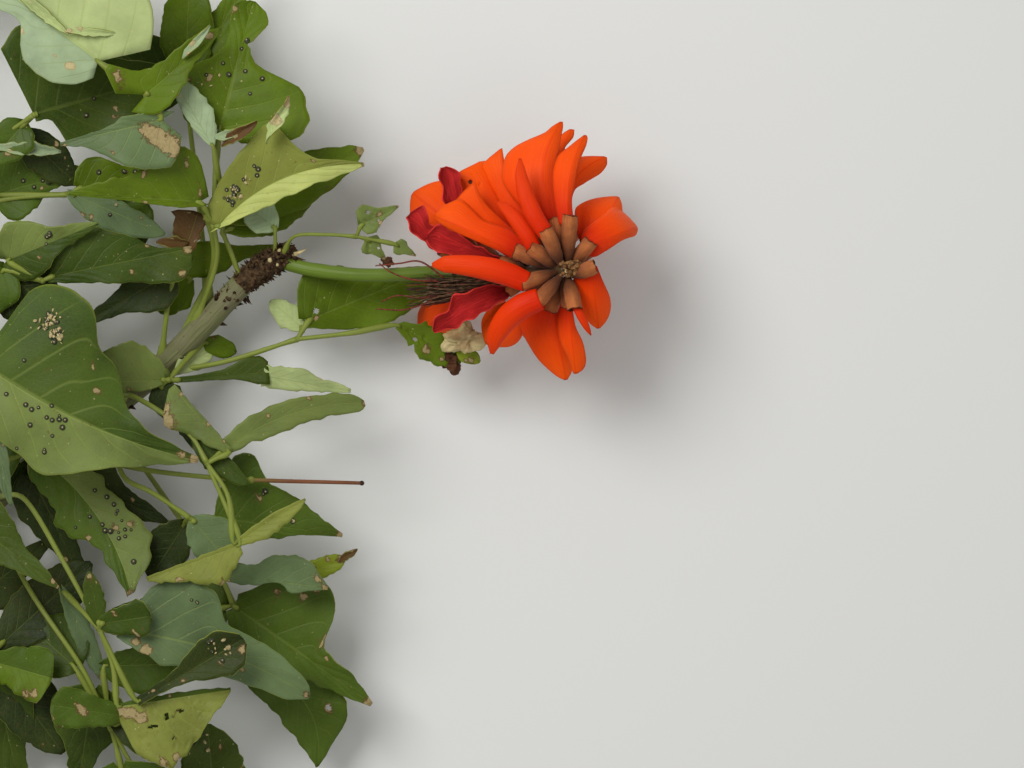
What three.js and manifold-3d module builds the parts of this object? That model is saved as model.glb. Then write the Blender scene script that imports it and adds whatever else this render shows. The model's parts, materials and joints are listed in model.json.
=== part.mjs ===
// A cut flowering branch of a coast coral tree, lying down.
// Millimetres, +Z up. Seen from above, X runs to the right and Y upwards. Places are measured from
// the top left corner of that view, with Z from the level of the flower stalk.
// The finished group is moved so that its origin is the centre of its underside.

import * as THREE from 'three';
import Module from 'manifold-3d';
import { mergeVertices } from 'three/addons/utils/BufferGeometryUtils.js';

const wasm = await Module();
wasm.setup();

// Clearance between touching pieces
const GAP = 0.3;

// Leaves: thickness, the width added along a blade's edge, the radii of a leaf's stalk and of the
// leaflets' stalks, the length under which a leaflet has no stalk and the length sunk into a stalk
const LEAF_THICK = 1.2;
const BLADE_EDGE = 0.4;
const STALK_FOOT = 2.6;
const STALK_MIDDLE = 1.3;
const STALK_END = 1.1;
const STALK_SIDES = 4;
const LEAFLET_STALK = 1.2;
const LEAFLET_STALK_SIDES = 3;
const SHORT_STALK = 9;
const ROOT = 1.5;

// Flowers: thickness of a petal, the calyx from base to mouth, the share of it that is sunk into
// the axis and the share at which the petal leaves it
const PETAL_THICK = 1.0;
const CALYX_RADII = [1.3, 2.3, 3.9, 3.8];
const CALYX_SIDES = 5;
const CALYX_STEPS = 3;
const CALYX_ROOT = 0.15;
const PETAL_SEAT = 0.9;

// Corners nearer than this are one corner
const WELD = 1e-4;

// Half width of a blade along its length, as shares of the blade's length and greatest half width
const LOBED = [[0, 0.1], [0.07, 0.7], [0.2, 1], [0.36, 0.82], [0.54, 0.42], [0.77, 0.28], [1, 0.03]];
const ROUNDED = [[0, 0.08], [0.12, 0.58], [0.38, 1], [0.66, 0.88], [0.88, 0.5], [1, 0.1]];
const SLENDER = [[0, 0.12], [0.14, 0.66], [0.4, 1], [0.7, 0.82], [0.92, 0.4], [1, 0.08]];
const STANDARD = [[0, 0.3], [0.2, 0.58], [0.48, 0.98], [0.7, 0.9], [0.89, 0.46], [1, 0.06]];

// Stems: the path, the radius at evenly spaced places along it, the sides of the section and the
// steps between two points of the path
const BRANCH = {
  path: [[-46, -282, -42], [0, -245, -36], [40, -214, -30], [80, -182.5, -23], [120, -142, -14]],
  radii: [7.6, 7.0, 6.6, 6.2, 6.0],
  sides: 10,
  steps: 3,
};
const ROUGH_TIP = {
  path: [[120, -142, -14], [130, -134, -11], [139, -129, -8], [148, -125, -5]],
  radii: [5.8, 6.6, 6.8, 4.6],
  sides: 8,
  steps: 2,
};
const SHOOT = {
  path: [[-8, -250, -36], [-30, -190, -26], [-36, -110, -14], [-24, -30, -2], [-12, 6, 6]],
  radii: [3.6, 3.0, 2.4, 1.8],
  sides: 7,
  steps: 2,
};
const PEDUNCLE = {
  path: [[142, -131, -8], [152, -134, -4], [180, -137.5, 0], [215, -136.5, 0]],
  radii: [3.7, 3.5, 3.4],
  sides: 8,
  steps: 2,
};
const AXIS = {
  path: [[216, -136.5, 0], [245, -137, 4], [268, -136.5, 18], [283, -135.5, 38]],
  radii: [3.6, 3.8, 3.4, 2.6],
  sides: 9,
  steps: 3,
};
const BARE_RACHIS = {
  path: [[38, -215.5, -30], [58, -231, -6], [68, -234, 3], [111, -239, 6], [181, -241.5, 4]],
  radii: [2.0, 1.3, 1.1, 0.9],
  sides: 6,
  steps: 2,
};
// The brush of withered stamens
const BRUSH = {
  path: [[252, -139, 8], [238, -143, 10], [216, -145, 9], [194, -146, 7]],
  radii: [1.6, 4.5, 6.5, 2.5],
  sides: 7,
  steps: 2,
};

const COLOURS = {
  bark: 0x7c7466,
  rough: 0x5c4a38,
  green: 0x55692c,
  leaf: 0x4f6f24,
  petal: 0xe04a12,
  withered: 0xaf2a3e,
  stamen: 0x6b4b3a,
};

// Compound leaves: where the stalk runs, and the leaflets from base to tip.
// half is the half width to the left and to the right of the midrib, looking from base to tip.
// roll turns the blade about its length, fold lifts both halves, arch bows the midrib towards the
// blade's upper side and sweep bows it to the left. via is the way of a long leaflet stalk.
const LEAVES = [
  {
    name: 'leaf_top',
    stalk: [[91, -169, -23], [106, -131, -12], [104, -112, -3], [93, -88, 9], [75, -49, 32]],
    leaflets: [
      { from: [51.5, -32.5, 33], to: [-20, 22, 18], half: [20, 48], fold: 8, arch: 5, via: [[63, -41, 34]] },
      { from: [75, -49, 33], to: [112, -16, 30], half: [29, 11], fold: 24, roll: 8, arch: -4 },
      { from: [80.5, -60.5, 30], to: [33, -74, 32], half: [20, 8], fold: 14, arch: 3 },
    ],
  },
  {
    name: 'leaf_upper_left',
    carrier: 'shoot',
    stalk: [[-33, -84, -10], [0, -69, 6], [18, -58, 12]],
    leaflets: [
      { from: [18, -58, 12], to: [92, -35, 0], half: [28, 22], fold: 5, arch: -3 },
      { from: [18, -58, 10], to: [3, -12, 8], half: [12, 14], fold: 12 },
      { from: [12, -63, 9], to: [-14, -92, 12], half: [12, 9], fold: 10 },
    ],
  },
  {
    name: 'leaf_front',
    stalk: [[96, -164, -19], [108.5, -128, -2], [107, -112, 8]],
    leaflets: [
      { from: [100.5, -101.5, 16], to: [36.5, -98, 30], half: [3, 27], fold: 12, arch: 3 },
      { from: [109.5, -113.5, 10], to: [182.5, -83, 24], half: [30, 6], fold: 10, arch: 3, sweep: 9 },
      { from: [110.5, -65, 14], to: [127, -1, 8], half: [26, 42], fold: 6, arch: 3, via: [[108, -90, 10]] },
    ],
  },
  {
    name: 'leaf_behind',
    stalk: [[120.5, -141, -14], [115, -126, -8], [111, -116, -6]],
    leaflets: [
      { from: [113, -108, -6], to: [181.5, -74, -12], half: [13, 13], fold: 8, shape: SLENDER },
      { from: [115, -114, -6], to: [157, -95, -20], half: [9, 11], fold: 6, shape: ROUNDED },
      { from: [106, -76, 2], to: [86, -40, 8], half: [7, 5], fold: 16, roll: 30, via: [[109, -98, -5]] },
    ],
  },
  {
    name: 'leaf_young',
    stalk: [[141, -129, -7], [147, -118.5, 4], [163, -117.5, 8], [178.5, -118.5, 10]],
    radius: 0.9,
    leaflets: [
      { from: [181, -113, 12], to: [199.5, -103.5, 15], half: [9, 6], fold: 12, radius: 0.8 },
      { from: [184, -120, 9], to: [193, -130, 5], half: [5, 6], fold: 15, radius: 0.8 },
      { from: [198, -122.5, 9], to: [208, -128, 8], half: [4, 4], fold: 10, radius: 0.8 },
    ],
  },
  {
    name: 'leaf_crumpled',
    stalk: [[136, -131, -10], [137.5, -122, -2], [137.5, -114, 0]],
    radius: 0.9,
    leaflets: [{ from: [137.5, -114, 0], to: [122, -102, 0], half: [8, 9], fold: 18, shape: ROUNDED }],
  },
  {
    name: 'leaf_dry',
    stalk: [[79, -183, -23], [84, -148, -12], [90, -127.5, -6]],
    leaflets: [
      { from: [92, -126, -5], to: [80, -104, -5], half: [8, 9], fold: 12 },
      { from: [92, -131, -12], to: [141, -122, -36], half: [9, 9], fold: 6, roll: 15 },
      { from: [84, -137, -10], to: [40, -162, -16], half: [14, 14], fold: 6 },
    ],
  },
  {
    name: 'leaf_left',
    carrier: 'shoot',
    stalk: [[-35, -140, -18], [5, -133, 0], [21.5, -140.5, 4]],
    leaflets: [
      { from: [26, -138.5, 4], to: [96, -124, 2], half: [20, 12], fold: 6, arch: 2 },
      { from: [4, -130, 4], to: [50, -112, 14], half: [17, 14], fold: 8, roll: 6 },
      { from: [2, -135, 2], to: [-26, -176, 2], half: [14, 14], fold: 8 },
      { from: [6, -138, 0], to: [44, -172, -6], half: [16, 18], fold: 5 },
    ],
  },
  {
    name: 'leaf_upper_mid',
    carrier: 'shoot',
    stalk: [[-36, -112, -14], [0, -100, -6], [34, -97, -4]],
    leaflets: [
      { from: [36, -97, -3], to: [82.5, -117, -2], half: [12, 13], fold: 6, roll: -6 },
      { from: [40, -94, -4], to: [84, -84, -10], half: [14, 12], fold: 6 },
      { from: [-2, -97, -6], to: [42, -84, -8], half: [22, 15], fold: 6 },
    ],
  },
  {
    name: 'leaf_big',
    carrier: 'shoot',
    stalk: [[-31, -186, -25], [-24, -184, 2], [-8, -181, 26]],
    leaflets: [
      { from: [-7.5, -181, 27], to: [100.5, -230, 26], half: [52, 38], fold: 4, arch: 6 },
      { from: [-8, -186, 24], to: [8, -252, 30], half: [12, 18], fold: 8 },
      { from: [-12, -178, 22], to: [-62, -142, 10], half: [24, 24], fold: 8 },
    ],
  },
  {
    name: 'leaf_mid',
    stalk: [[82, -184, -23], [83, -187, -12], [84, -190, -6]],
    leaflets: [
      { from: [82, -190, -6], to: [42, -192, 2], half: [5, 20], fold: 8, roll: -8, shape: ROUNDED },
      { from: [88, -190, -8], to: [175, -196, -14], half: [8, 8], fold: 10, twist: 60, shape: SLENDER },
      { from: [80, -193, -8], to: [98, -226, -8], half: [8, 9], fold: 8 },
    ],
  },
  {
    name: 'leaf_right',
    stalk: [[80, -186, -25], [111, -181, -12], [148.5, -169.5, -6]],
    leaflets: [
      { from: [154.5, -160, -9], to: [217, -133, -26], half: [24, 25], fold: 4, arch: -3 },
      { from: [198.5, -162.5, -6], to: [239, -181, -20], half: [14, 11], fold: 10, via: [[175, -166.5, -4]] },
      { from: [151, -164, -10], to: [134, -150, -24], half: [6, 6], fold: 10, shape: ROUNDED },
    ],
  },
  {
    name: 'leaf_centre',
    stalk: [[58, -200, -27], [66, -198, 0], [84, -208, 10], [96.5, -218, 14], [104.5, -231.5, 18]],
    leaflets: [
      { from: [86, -208, 10], to: [126, -247, 24], half: [10, 11], fold: 10, twist: 120 },
      { from: [113.5, -224.5, 14], to: [182.5, -201.5, 6], half: [10, 10], fold: 8, shape: SLENDER },
      { from: [119, -269, 22], to: [152.5, -251.5, 27], half: [7, 9], fold: 12, via: [[115, -247.5, 21]] },
      { from: [116, -268, 22], to: [69, -287, 24], half: [10, 9], fold: 12, roll: 10 },
    ],
  },
  {
    name: 'leaf_lower_mid',
    stalk: [[46, -209, -30], [56, -222, -6], [63, -239, 7], [76.5, -246, 9], [95.5, -259, 8]],
    leaflets: [
      { from: [97, -260, 8], to: [116, -283, 6], half: [13, 10], fold: 6, shape: ROUNDED },
      { from: [107, -259, 0], to: [172, -269, -8], half: [34, 9], fold: 3 },
      { from: [107, -287, 2], to: [163, -286, 2], half: [9, 10], fold: 6, via: [[99, -272, 4]] },
    ],
  },
  {
    name: 'leaf_lower',
    stalk: [[-4, -247, -37], [0, -248, -12], [12, -249, 4], [32, -279.5, 12], [51, -314, 18]],
    leaflets: [
      { from: [60, -315.5, 17], to: [155, -348, 8], half: [26, 16], fold: 6, arch: 3, sweep: 7 },
      { from: [52, -311, 20], to: [80, -301, 26], half: [8, 7], fold: 10, roll: 10 },
      { from: [65, -352, 16], to: [116, -344, 14], half: [7, 27], fold: 8, via: [[58, -334, 16]] },
      { from: [70, -350, 18], to: [123, -318, 30], half: [9, 9], fold: 24, twist: 40 },
    ],
  },
  {
    name: 'leaf_low',
    stalk: [[-10, -254, -37], [14, -296, -14], [42, -336.5, -4], [55, -365, -8]],
    leaflets: [
      { from: [52, -333, -4], to: [98, -326, -4], half: [12, 14], fold: 6 },
      { from: [60, -386, -12], to: [74, -452, -50], half: [26, 26], fold: 6, via: [[58, -376, -10]] },
      { from: [62, -358, 2], to: [26, -352, 8], half: [10, 9], fold: 6 },
      { from: [36, -333, -8], to: [-6, -298, -28], half: [12, 20], fold: 5 },
      { from: [46, -346, -9], to: [36, -402, -22], half: [20, 20], fold: 5 },
    ],
  },
  {
    name: 'leaf_bottom_left',
    stalk: [[-24, -265, -39], [-12, -300, -16], [-6, -328, -8]],
    leaflets: [
      { from: [-4, -331, -6], to: [26, -338, 2], half: [9, 11], fold: 6 },
      { from: [-10, -330, -8], to: [-66, -352, -24], half: [24, 24], fold: 8 },
      { from: [-5, -335, -9], to: [10, -408, -40], half: [18, 24], fold: 6 },
    ],
  },
  {
    name: 'leaf_galled',
    stalk: [[18, -231, -33], [15, -228, -18], [14, -226, -10]],
    leaflets: [
      { from: [16.5, -227.5, -10], to: [65.5, -297, 0], half: [25, 15], fold: 4, arch: -2 },
      { from: [-16, -258, 18], to: [31, -293, 24], half: [12, 14], fold: 6, via: [[-6, -236, 8]] },
      { from: [6, -223, -10], to: [-70, -222, -30], half: [24, 24], fold: 8, roll: 6 },
      { from: [30, -237, -16], to: [84, -262, -16], half: [17, 18], fold: 4 },
    ],
  },
  {
    name: 'leaf_lower_right',
    stalk: [[50, -206, -29], [85, -255, -26], [110, -290, -18], [116, -303, -16]],
    leaflets: [
      { from: [117, -304, -14], to: [185.5, -353, -14], half: [29, 24], fold: 5 },
      { from: [122, -336, -22], to: [158, -385, -26], half: [27, 15], fold: 5, via: [[118, -318, -20]] },
      { from: [124, -298, -16], to: [177.5, -275.5, -10], half: [7, 8], fold: 8, shape: SLENDER },
      { from: [110, -305, -20], to: [54, -306, -30], half: [18, 20], fold: 4 },
    ],
  },
  {
    name: 'leaf_top_back',
    stalk: [[104, -156, -19], [98, -100, -24], [92, -45, -16]],
    leaflets: [
      { from: [92, -38, -14], to: [94, 14, -12], half: [13, 13], fold: 6, shape: ROUNDED },
      { from: [97, -38, -15], to: [128, 24, -20], half: [14, 14], fold: 6 },
      { from: [88, -44, -16], to: [30, -6, -30], half: [20, 20], fold: 6 },
    ],
  },
  {
    name: 'leaf_shoot_end',
    carrier: 'shoot',
    stalk: [[-16, -8, 3], [-36, 8, 6], [-44, 24, 4]],
    leaflets: [
      { from: [-45, 26, 4], to: [-74, 86, -20], half: [28, 28], fold: 8 },
      { from: [-47, 20, 3], to: [-112, -8, -30], half: [24, 24], fold: 8 },
      { from: [-40, 24, 3], to: [10, 66, -12], half: [24, 24], fold: 8 },
    ],
  },
  {
    name: 'leaf_far_left',
    carrier: 'shoot',
    stalk: [[-35, -96, -12], [-60, -84, -14], [-72, -78, -16]],
    leaflets: [
      { from: [-74, -77, -16], to: [-128, -50, -40], half: [24, 24], fold: 8 },
      { from: [-73, -80, -17], to: [-120, -122, -50], half: [24, 24], fold: 8 },
      { from: [-70, -74, -16], to: [-70, -18, -34], half: [22, 22], fold: 8 },
    ],
  },
];

// Flowers: calyx from base to mouth, then the standard petal out to its tip
const FLOWERS = [
  {
    base: [277, -133.5, 32], mouth: [265, -124, 36], tip: [248.5, -101.5, 30],
    half: [5, 5], fold: 30, roll: 20,
  },
  {
    base: [279.5, -131.5, 38], mouth: [272.5, -116, 42], tip: [260, -80.5, 34],
    half: [6, 5], fold: 30, roll: -20,
  },
  {
    base: [281, -131, 32], mouth: [278, -111, 29], tip: [280.5, -61.5, 16],
    half: [15, 12], fold: 14, sweep: 9,
  },
  { base: [284, -131, 35], mouth: [286, -108.5, 38], tip: [292.5, -68.5, 24], half: [9, 8], fold: 24 },
  { base: [272, -133.5, 17.5], mouth: [291, -112, 4], tip: [303, -78, -10], half: [9, 9], fold: 16 },
  { base: [278, -131.5, 27], mouth: [281, -111, 16], tip: [285.5, -64, -2], half: [11, 11], fold: 16 },
  {
    base: [284, -134.5, 30.5], mouth: [295, -121.5, 34], tip: [318.5, -114, 12],
    half: [12, 13], fold: 10, arch: 5,
  },
  {
    base: [282, -135.5, 26], mouth: [299, -122, 20], tip: [310, -99, 6],
    half: [9, 8], fold: 14, arch: 4,
  },
  {
    base: [287, -138, 38], mouth: [297, -134, 41], tip: [299, -164.5, 22],
    half: [11, 11], fold: 10, sweep: 1,
  },
  {
    base: [284, -140.5, 35], mouth: [287, -155, 40], tip: [295, -168, 37],
    half: [3, 4], fold: 34, roll: 40,
  },
  {
    base: [278.5, -140.5, 38], mouth: [268, -152, 39], tip: [246, -177, 26],
    half: [8, 8], fold: 20, sweep: -6,
  },
  {
    base: [276, -137.5, 35], mouth: [260.5, -142.5, 38], tip: [216.5, -133, 34],
    half: [8, 8], fold: 22, sweep: -3,
  },
  {
    base: [272, -133, 28], mouth: [257.5, -126, 28], tip: [217.5, -108.5, 24],
    half: [12, 13], fold: 14, sweep: -3,
  },
  { base: [270, -132, 22], mouth: [257, -119, 19], tip: [237, -93.5, 14], half: [12, 12], fold: 12 },
  { base: [275, -131, 22], mouth: [266, -114, 15], tip: [250.5, -75, 6], half: [12, 12], fold: 12 },
  { base: [261.5, -131.5, 13], mouth: [252, -117, 11], tip: [228, -85, 5.5], half: [12, 11], fold: 10 },
  { base: [251, -133, 5], mouth: [240, -123, -1], tip: [206, -96, -16], half: [15, 15], fold: 10 },
  { base: [279.5, -141, 27], mouth: [275, -155, 22], tip: [277, -190, 8], half: [12, 15], fold: 12 },
  { base: [283, -140.5, 29], mouth: [284, -153, 27], tip: [287.5, -187, 20], half: [8, 8], fold: 20 },
  { base: [272, -141, 20], mouth: [262, -152, 14], tip: [243, -172, 4], half: [12, 12], fold: 12 },
];
const WITHERED = [
  {
    base: [241, -133, 5], mouth: [231, -116, 8], tip: [221, -84, -1],
    half: [5, 6], fold: 30, twist: 50,
  },
  {
    base: [234, -134, 4], mouth: [221, -125, 11], tip: [204, -108, 6],
    half: [6, 7], fold: 26, twist: 40,
  },
  {
    base: [262, -135, 16], mouth: [250, -131, 18], tip: [214, -119, 14],
    half: [6, 6], fold: 30, twist: 30,
  },
  {
    base: [264, -140, 18], mouth: [254, -146, 18], tip: [218, -164, 14],
    half: [6, 6], fold: 30, sweep: -4,
  },
];
// Flowers on the underside. at is the share of the axis, turn the angle from straight down about
// the axis, in degrees, and lean the way along X.
const UNDER_FLOWERS = [
  { at: 0.22, turn: -35, lean: -0.3 },
  { at: 0.325, turn: 22, lean: -0.175 },
  { at: 0.43, turn: -15, lean: -0.05 },
  { at: 0.535, turn: 27, lean: 0.075 },
  { at: 0.64, turn: -40, lean: 0.2 },
];
const UNDER_CALYX = 20;
const UNDER_REACH = 58;
const UNDER_DRIFT = -8;
const UNDER_PETAL = { half: [11, 11], fold: 14 };

const RADIAN = Math.PI / 180;
const UP = new THREE.Vector3(0, 0, 1);

const point = (list) => new THREE.Vector3(...list);

// Value at u of a list of [u, value] pairs
function along(pairs, u) {
  let index = 1;
  while (index < pairs.length - 1 && pairs[index][0] < u) {
    index += 1;
  }
  const [u0, value0] = pairs[index - 1];
  const [u1, value1] = pairs[index];
  return value0 + ((value1 - value0) * (u - u0)) / (u1 - u0);
}

const spaced = (values) => values.map((value, index) => [index / (values.length - 1), value]);

// Closed solid of a three.js geometry
function solid(geometry) {
  const bare = geometry.clone();
  bare.deleteAttribute('normal');
  bare.deleteAttribute('uv');
  const merged = mergeVertices(bare, WELD);
  const vertProperties = Float32Array.from(merged.attributes.position.array);
  const triVerts = Uint32Array.from(merged.index.array);
  const result = new wasm.Manifold(new wasm.Mesh({ numProp: 3, vertProperties, triVerts }));
  if (result.volume() > 0) {
    return result;
  }
  for (let face = 0; face < triVerts.length; face += 3) {
    [triVerts[face + 1], triVerts[face + 2]] = [triVerts[face + 2], triVerts[face + 1]];
  }
  return new wasm.Manifold(new wasm.Mesh({ numProp: 3, vertProperties, triVerts }));
}

const smooth = (path) => new THREE.CatmullRomCurve3(path.map(point), false, 'centripetal');

// Tapering round stem, grown by a given amount where it makes room in its neighbours
function limb({ path, radii, sides, steps: stepsPerSpan }, grow = 0) {
  const curve = smooth(path);
  const steps = stepsPerSpan * (path.length - 1);
  const corners = [];
  for (let side = 0; side < sides; side += 1) {
    const angle = (2 * Math.PI * side) / sides;
    corners.push(new THREE.Vector2(Math.cos(angle), Math.sin(angle)));
  }
  const section = new THREE.Shape(corners);
  const tube = new THREE.ExtrudeGeometry(section, { steps, extrudePath: curve, bevelEnabled: false });
  const stations = curve.getSpacedPoints(steps);
  const profile = spaced(radii);
  const position = tube.attributes.position;
  const corner = new THREE.Vector3();
  for (let index = 0; index < position.count; index += 1) {
    corner.fromBufferAttribute(position, index);
    let nearest = 0;
    stations.forEach((station, number) => {
      if (station.distanceTo(corner) < stations[nearest].distanceTo(corner)) {
        nearest = number;
      }
    });
    const centre = stations[nearest];
    corner.sub(centre).multiplyScalar(along(profile, nearest / steps) + grow).add(centre);
    position.setXYZ(index, corner.x, corner.y, corner.z);
  }
  return solid(tube);
}

// Thin blade from base to tip, with one row of corners at each place of its outline
function blade(spec, thick, shape) {
  const { half, fold = 0, roll = 0, twist = 0, arch = 0, sweep = 0 } = spec;
  const base = point(spec.from);
  const chord = point(spec.to).sub(base);
  const ahead = chord.clone().normalize();
  const left = UP.clone().cross(ahead).normalize();
  const lift = Math.sin(fold * RADIAN);
  const reach = Math.cos(fold * RADIAN);
  const rows = shape.length - 1;
  const slab = new THREE.BoxGeometry(2, rows, 1, 2, rows, 1);
  const position = slab.attributes.position;
  for (let index = 0; index < position.count; index += 1) {
    const row = Math.round(position.getY(index) + rows / 2);
    const [u, width] = shape[row];
    const across = -position.getX(index);
    const angle = (roll + twist * (u - 0.5)) * RADIAN;
    const side = left.clone().applyAxisAngle(ahead, angle);
    const normal = ahead.clone().cross(side);
    const bow = 4 * u * (1 - u);
    const halfWidth = (across > 0 ? half[0] : half[1]) * width + BLADE_EDGE;
    const corner = base.clone().addScaledVector(chord, u);
    corner.addScaledVector(normal, arch * bow);
    corner.addScaledVector(side, sweep * bow + across * halfWidth * reach);
    corner.addScaledVector(normal, Math.abs(across) * halfWidth * lift + position.getZ(index) * thick);
    position.setXYZ(index, corner.x, corner.y, corner.z);
  }
  return solid(slab);
}

const largest = (body) => body.decompose().sort((a, b) => b.volume() - a.volume())[0];

// Named mesh of a solid, with its own origin at a given place
function mesh(name, body, colour, place) {
  const { vertProperties, triVerts } = body.getMesh();
  const geometry = new THREE.BufferGeometry();
  geometry.setAttribute('position', new THREE.BufferAttribute(Float32Array.from(vertProperties), 3));
  geometry.setIndex(new THREE.BufferAttribute(Uint32Array.from(triVerts), 1));
  geometry.translate(-place[0], -place[1], -place[2]);
  geometry.computeVertexNormals();
  const material = new THREE.MeshStandardMaterial({ color: colour, roughness: 0.7, metalness: 0 });
  const result = new THREE.Mesh(geometry, material);
  result.name = name;
  result.position.set(...place);
  return result;
}

// The woody branch, its broken tip and the side shoot
const branch = limb(BRANCH);
const branchSpace = limb(BRANCH, GAP);
const tip = largest(limb(ROUGH_TIP).subtract(branchSpace));
const woodSpace = branchSpace.add(limb(ROUGH_TIP, GAP));
const shoot = largest(limb(SHOOT).subtract(branchSpace));
const shootSpace = branchSpace.add(limb(SHOOT, GAP));

// The flower stalk and the axis that carries the flowers
const peduncle = largest(limb(PEDUNCLE).subtract(woodSpace));
const peduncleSpace = limb(PEDUNCLE, GAP);
const axis = largest(limb(AXIS).subtract(peduncleSpace));
const flowerSpace = peduncleSpace.add(limb(AXIS, GAP));

const CARRIERS = { wood: woodSpace, shoot: shootSpace };

// One compound leaf: stalk, leaflet stalks and blades in one solid
function compoundLeaf({ stalk, leaflets, radius, carrier = 'wood' }) {
  const foot = radius ? 2 * radius : STALK_FOOT;
  const middle = radius ?? STALK_MIDDLE;
  const radii = [foot, middle, middle, radius ?? STALK_END];
  let body = limb({ path: stalk, radii, sides: STALK_SIDES, steps: 2 });
  const [before, node] = stalk.slice(-2);
  const rooted = point(before).sub(point(node)).setLength(ROOT).add(point(node)).toArray();
  leaflets.forEach((leaflet) => {
    const thin = leaflet.radius ?? LEAFLET_STALK;
    const sessile = !leaflet.via && point(node).distanceTo(point(leaflet.from)) < SHORT_STALK;
    if (!sessile) {
      const inward = point(leaflet.to).sub(point(leaflet.from)).setLength(ROOT).add(point(leaflet.from));
      const path = [node, ...(leaflet.via ?? []), inward.toArray()];
      body = body.add(limb({ path, radii: [thin, thin], sides: LEAFLET_STALK_SIDES, steps: 1 }));
    }
    const from = sessile ? rooted : leaflet.from;
    body = body.add(blade({ ...leaflet, from }, LEAF_THICK, leaflet.shape ?? LOBED));
  });
  return largest(body.subtract(CARRIERS[carrier]));
}

// One flower: tapering calyx and its standard petal in one solid
function flower(spec) {
  const base = point(spec.base);
  const mouth = point(spec.mouth);
  const path = [base.clone().lerp(mouth, -CALYX_ROOT).toArray(), spec.mouth];
  const calyx = limb({ path, radii: CALYX_RADII, sides: CALYX_SIDES, steps: CALYX_STEPS });
  const from = base.lerp(mouth, PETAL_SEAT).toArray();
  const petal = blade({ ...spec, from, to: spec.tip }, PETAL_THICK, STANDARD);
  return largest(calyx.add(petal).subtract(flowerSpace));
}

// Base, mouth and tip of a flower below the axis
function hanging({ at, turn, lean }) {
  const base = smooth(AXIS.path).getPointAt(at);
  const angle = turn * RADIAN;
  const out = new THREE.Vector3(lean, Math.sin(angle), -Math.cos(angle)).normalize();
  const mouth = base.clone().addScaledVector(out, UNDER_CALYX);
  const end = base.clone().addScaledVector(out, UNDER_REACH);
  end.x += UNDER_DRIFT;
  return { ...UNDER_PETAL, base: base.toArray(), mouth: mouth.toArray(), tip: end.toArray() };
}

const group = new THREE.Group();
group.add(mesh('woody_branch', branch, COLOURS.bark, BRANCH.path[0]));
group.add(mesh('rough_tip', tip, COLOURS.rough, ROUGH_TIP.path[0]));
group.add(mesh('side_shoot', shoot, COLOURS.green, SHOOT.path[0]));
group.add(mesh('peduncle', peduncle, COLOURS.green, PEDUNCLE.path[0]));
group.add(mesh('raceme_axis', axis, COLOURS.green, AXIS.path[0]));
const rachis = largest(limb(BARE_RACHIS).subtract(branchSpace));
group.add(mesh('bare_rachis', rachis, COLOURS.green, BARE_RACHIS.path[0]));
LEAVES.forEach((leaf) => group.add(mesh(leaf.name, compoundLeaf(leaf), COLOURS.leaf, leaf.stalk[0])));

const two = (number) => String(number + 1).padStart(2, '0');
FLOWERS.forEach((spec, index) => {
  group.add(mesh(`flower_${two(index)}`, flower(spec), COLOURS.petal, spec.base));
});
UNDER_FLOWERS.map(hanging).forEach((spec, index) => {
  group.add(mesh(`under_flower_${two(index)}`, flower(spec), COLOURS.petal, spec.base));
});
WITHERED.forEach((spec, index) => {
  group.add(mesh(`withered_flower_${two(index)}`, flower(spec), COLOURS.withered, spec.base));
});
const brush = largest(limb(BRUSH).subtract(flowerSpace));
group.add(mesh('stamen_brush', brush, COLOURS.stamen, BRUSH.path[0]));

// The origin is the centre of the underside
const root = new THREE.Group();
root.add(group);
root.updateMatrixWorld(true);
const box = new THREE.Box3().setFromObject(root, true);
const centre = box.getCenter(new THREE.Vector3());
group.position.set(-centre.x, -centre.y, -box.min.z);

export default root;
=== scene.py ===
"""A cut flowering branch of a coast coral tree, lying down, under a camera that looks down on it.

The solids of the frame give the place and the reach of every stem, leaf and flower. This file grows
the fine pieces over them: bark, stalks, leaflets with veins, fresh flowers and withered ones.
Lengths are in millimetres, measured from the top left corner of the view from above, with Z from
the level of the flower stalk. Each finished piece is brought into the frame, in metres.
"""

import json
import math
import random

import bmesh
import bpy
from mathutils import Matrix, Quaternion, Vector, noise


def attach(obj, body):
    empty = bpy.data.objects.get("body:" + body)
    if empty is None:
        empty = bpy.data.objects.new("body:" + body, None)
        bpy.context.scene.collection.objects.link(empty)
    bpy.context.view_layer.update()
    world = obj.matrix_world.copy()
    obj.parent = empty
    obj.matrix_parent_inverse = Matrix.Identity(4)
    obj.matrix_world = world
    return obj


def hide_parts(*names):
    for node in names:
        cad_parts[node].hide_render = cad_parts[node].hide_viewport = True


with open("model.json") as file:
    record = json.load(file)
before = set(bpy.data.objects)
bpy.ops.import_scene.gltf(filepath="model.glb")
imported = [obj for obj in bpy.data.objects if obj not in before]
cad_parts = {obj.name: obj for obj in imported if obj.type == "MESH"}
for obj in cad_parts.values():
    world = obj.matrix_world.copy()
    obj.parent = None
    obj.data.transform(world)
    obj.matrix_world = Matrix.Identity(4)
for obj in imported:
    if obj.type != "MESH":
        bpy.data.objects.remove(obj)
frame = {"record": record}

bl_info = {
    "name": "Coast coral tree branch",
    "version": (1, 0, 0),
    "blender": (4, 5, 0),
    "location": "View3D > Sidebar > Coral tree",
    "description": "Grows bark, leaves and flowers over the solids of a cut flowering branch",
    "category": "Object",
}

MM = 0.001
UP = Vector((0, 0, 1))

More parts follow.
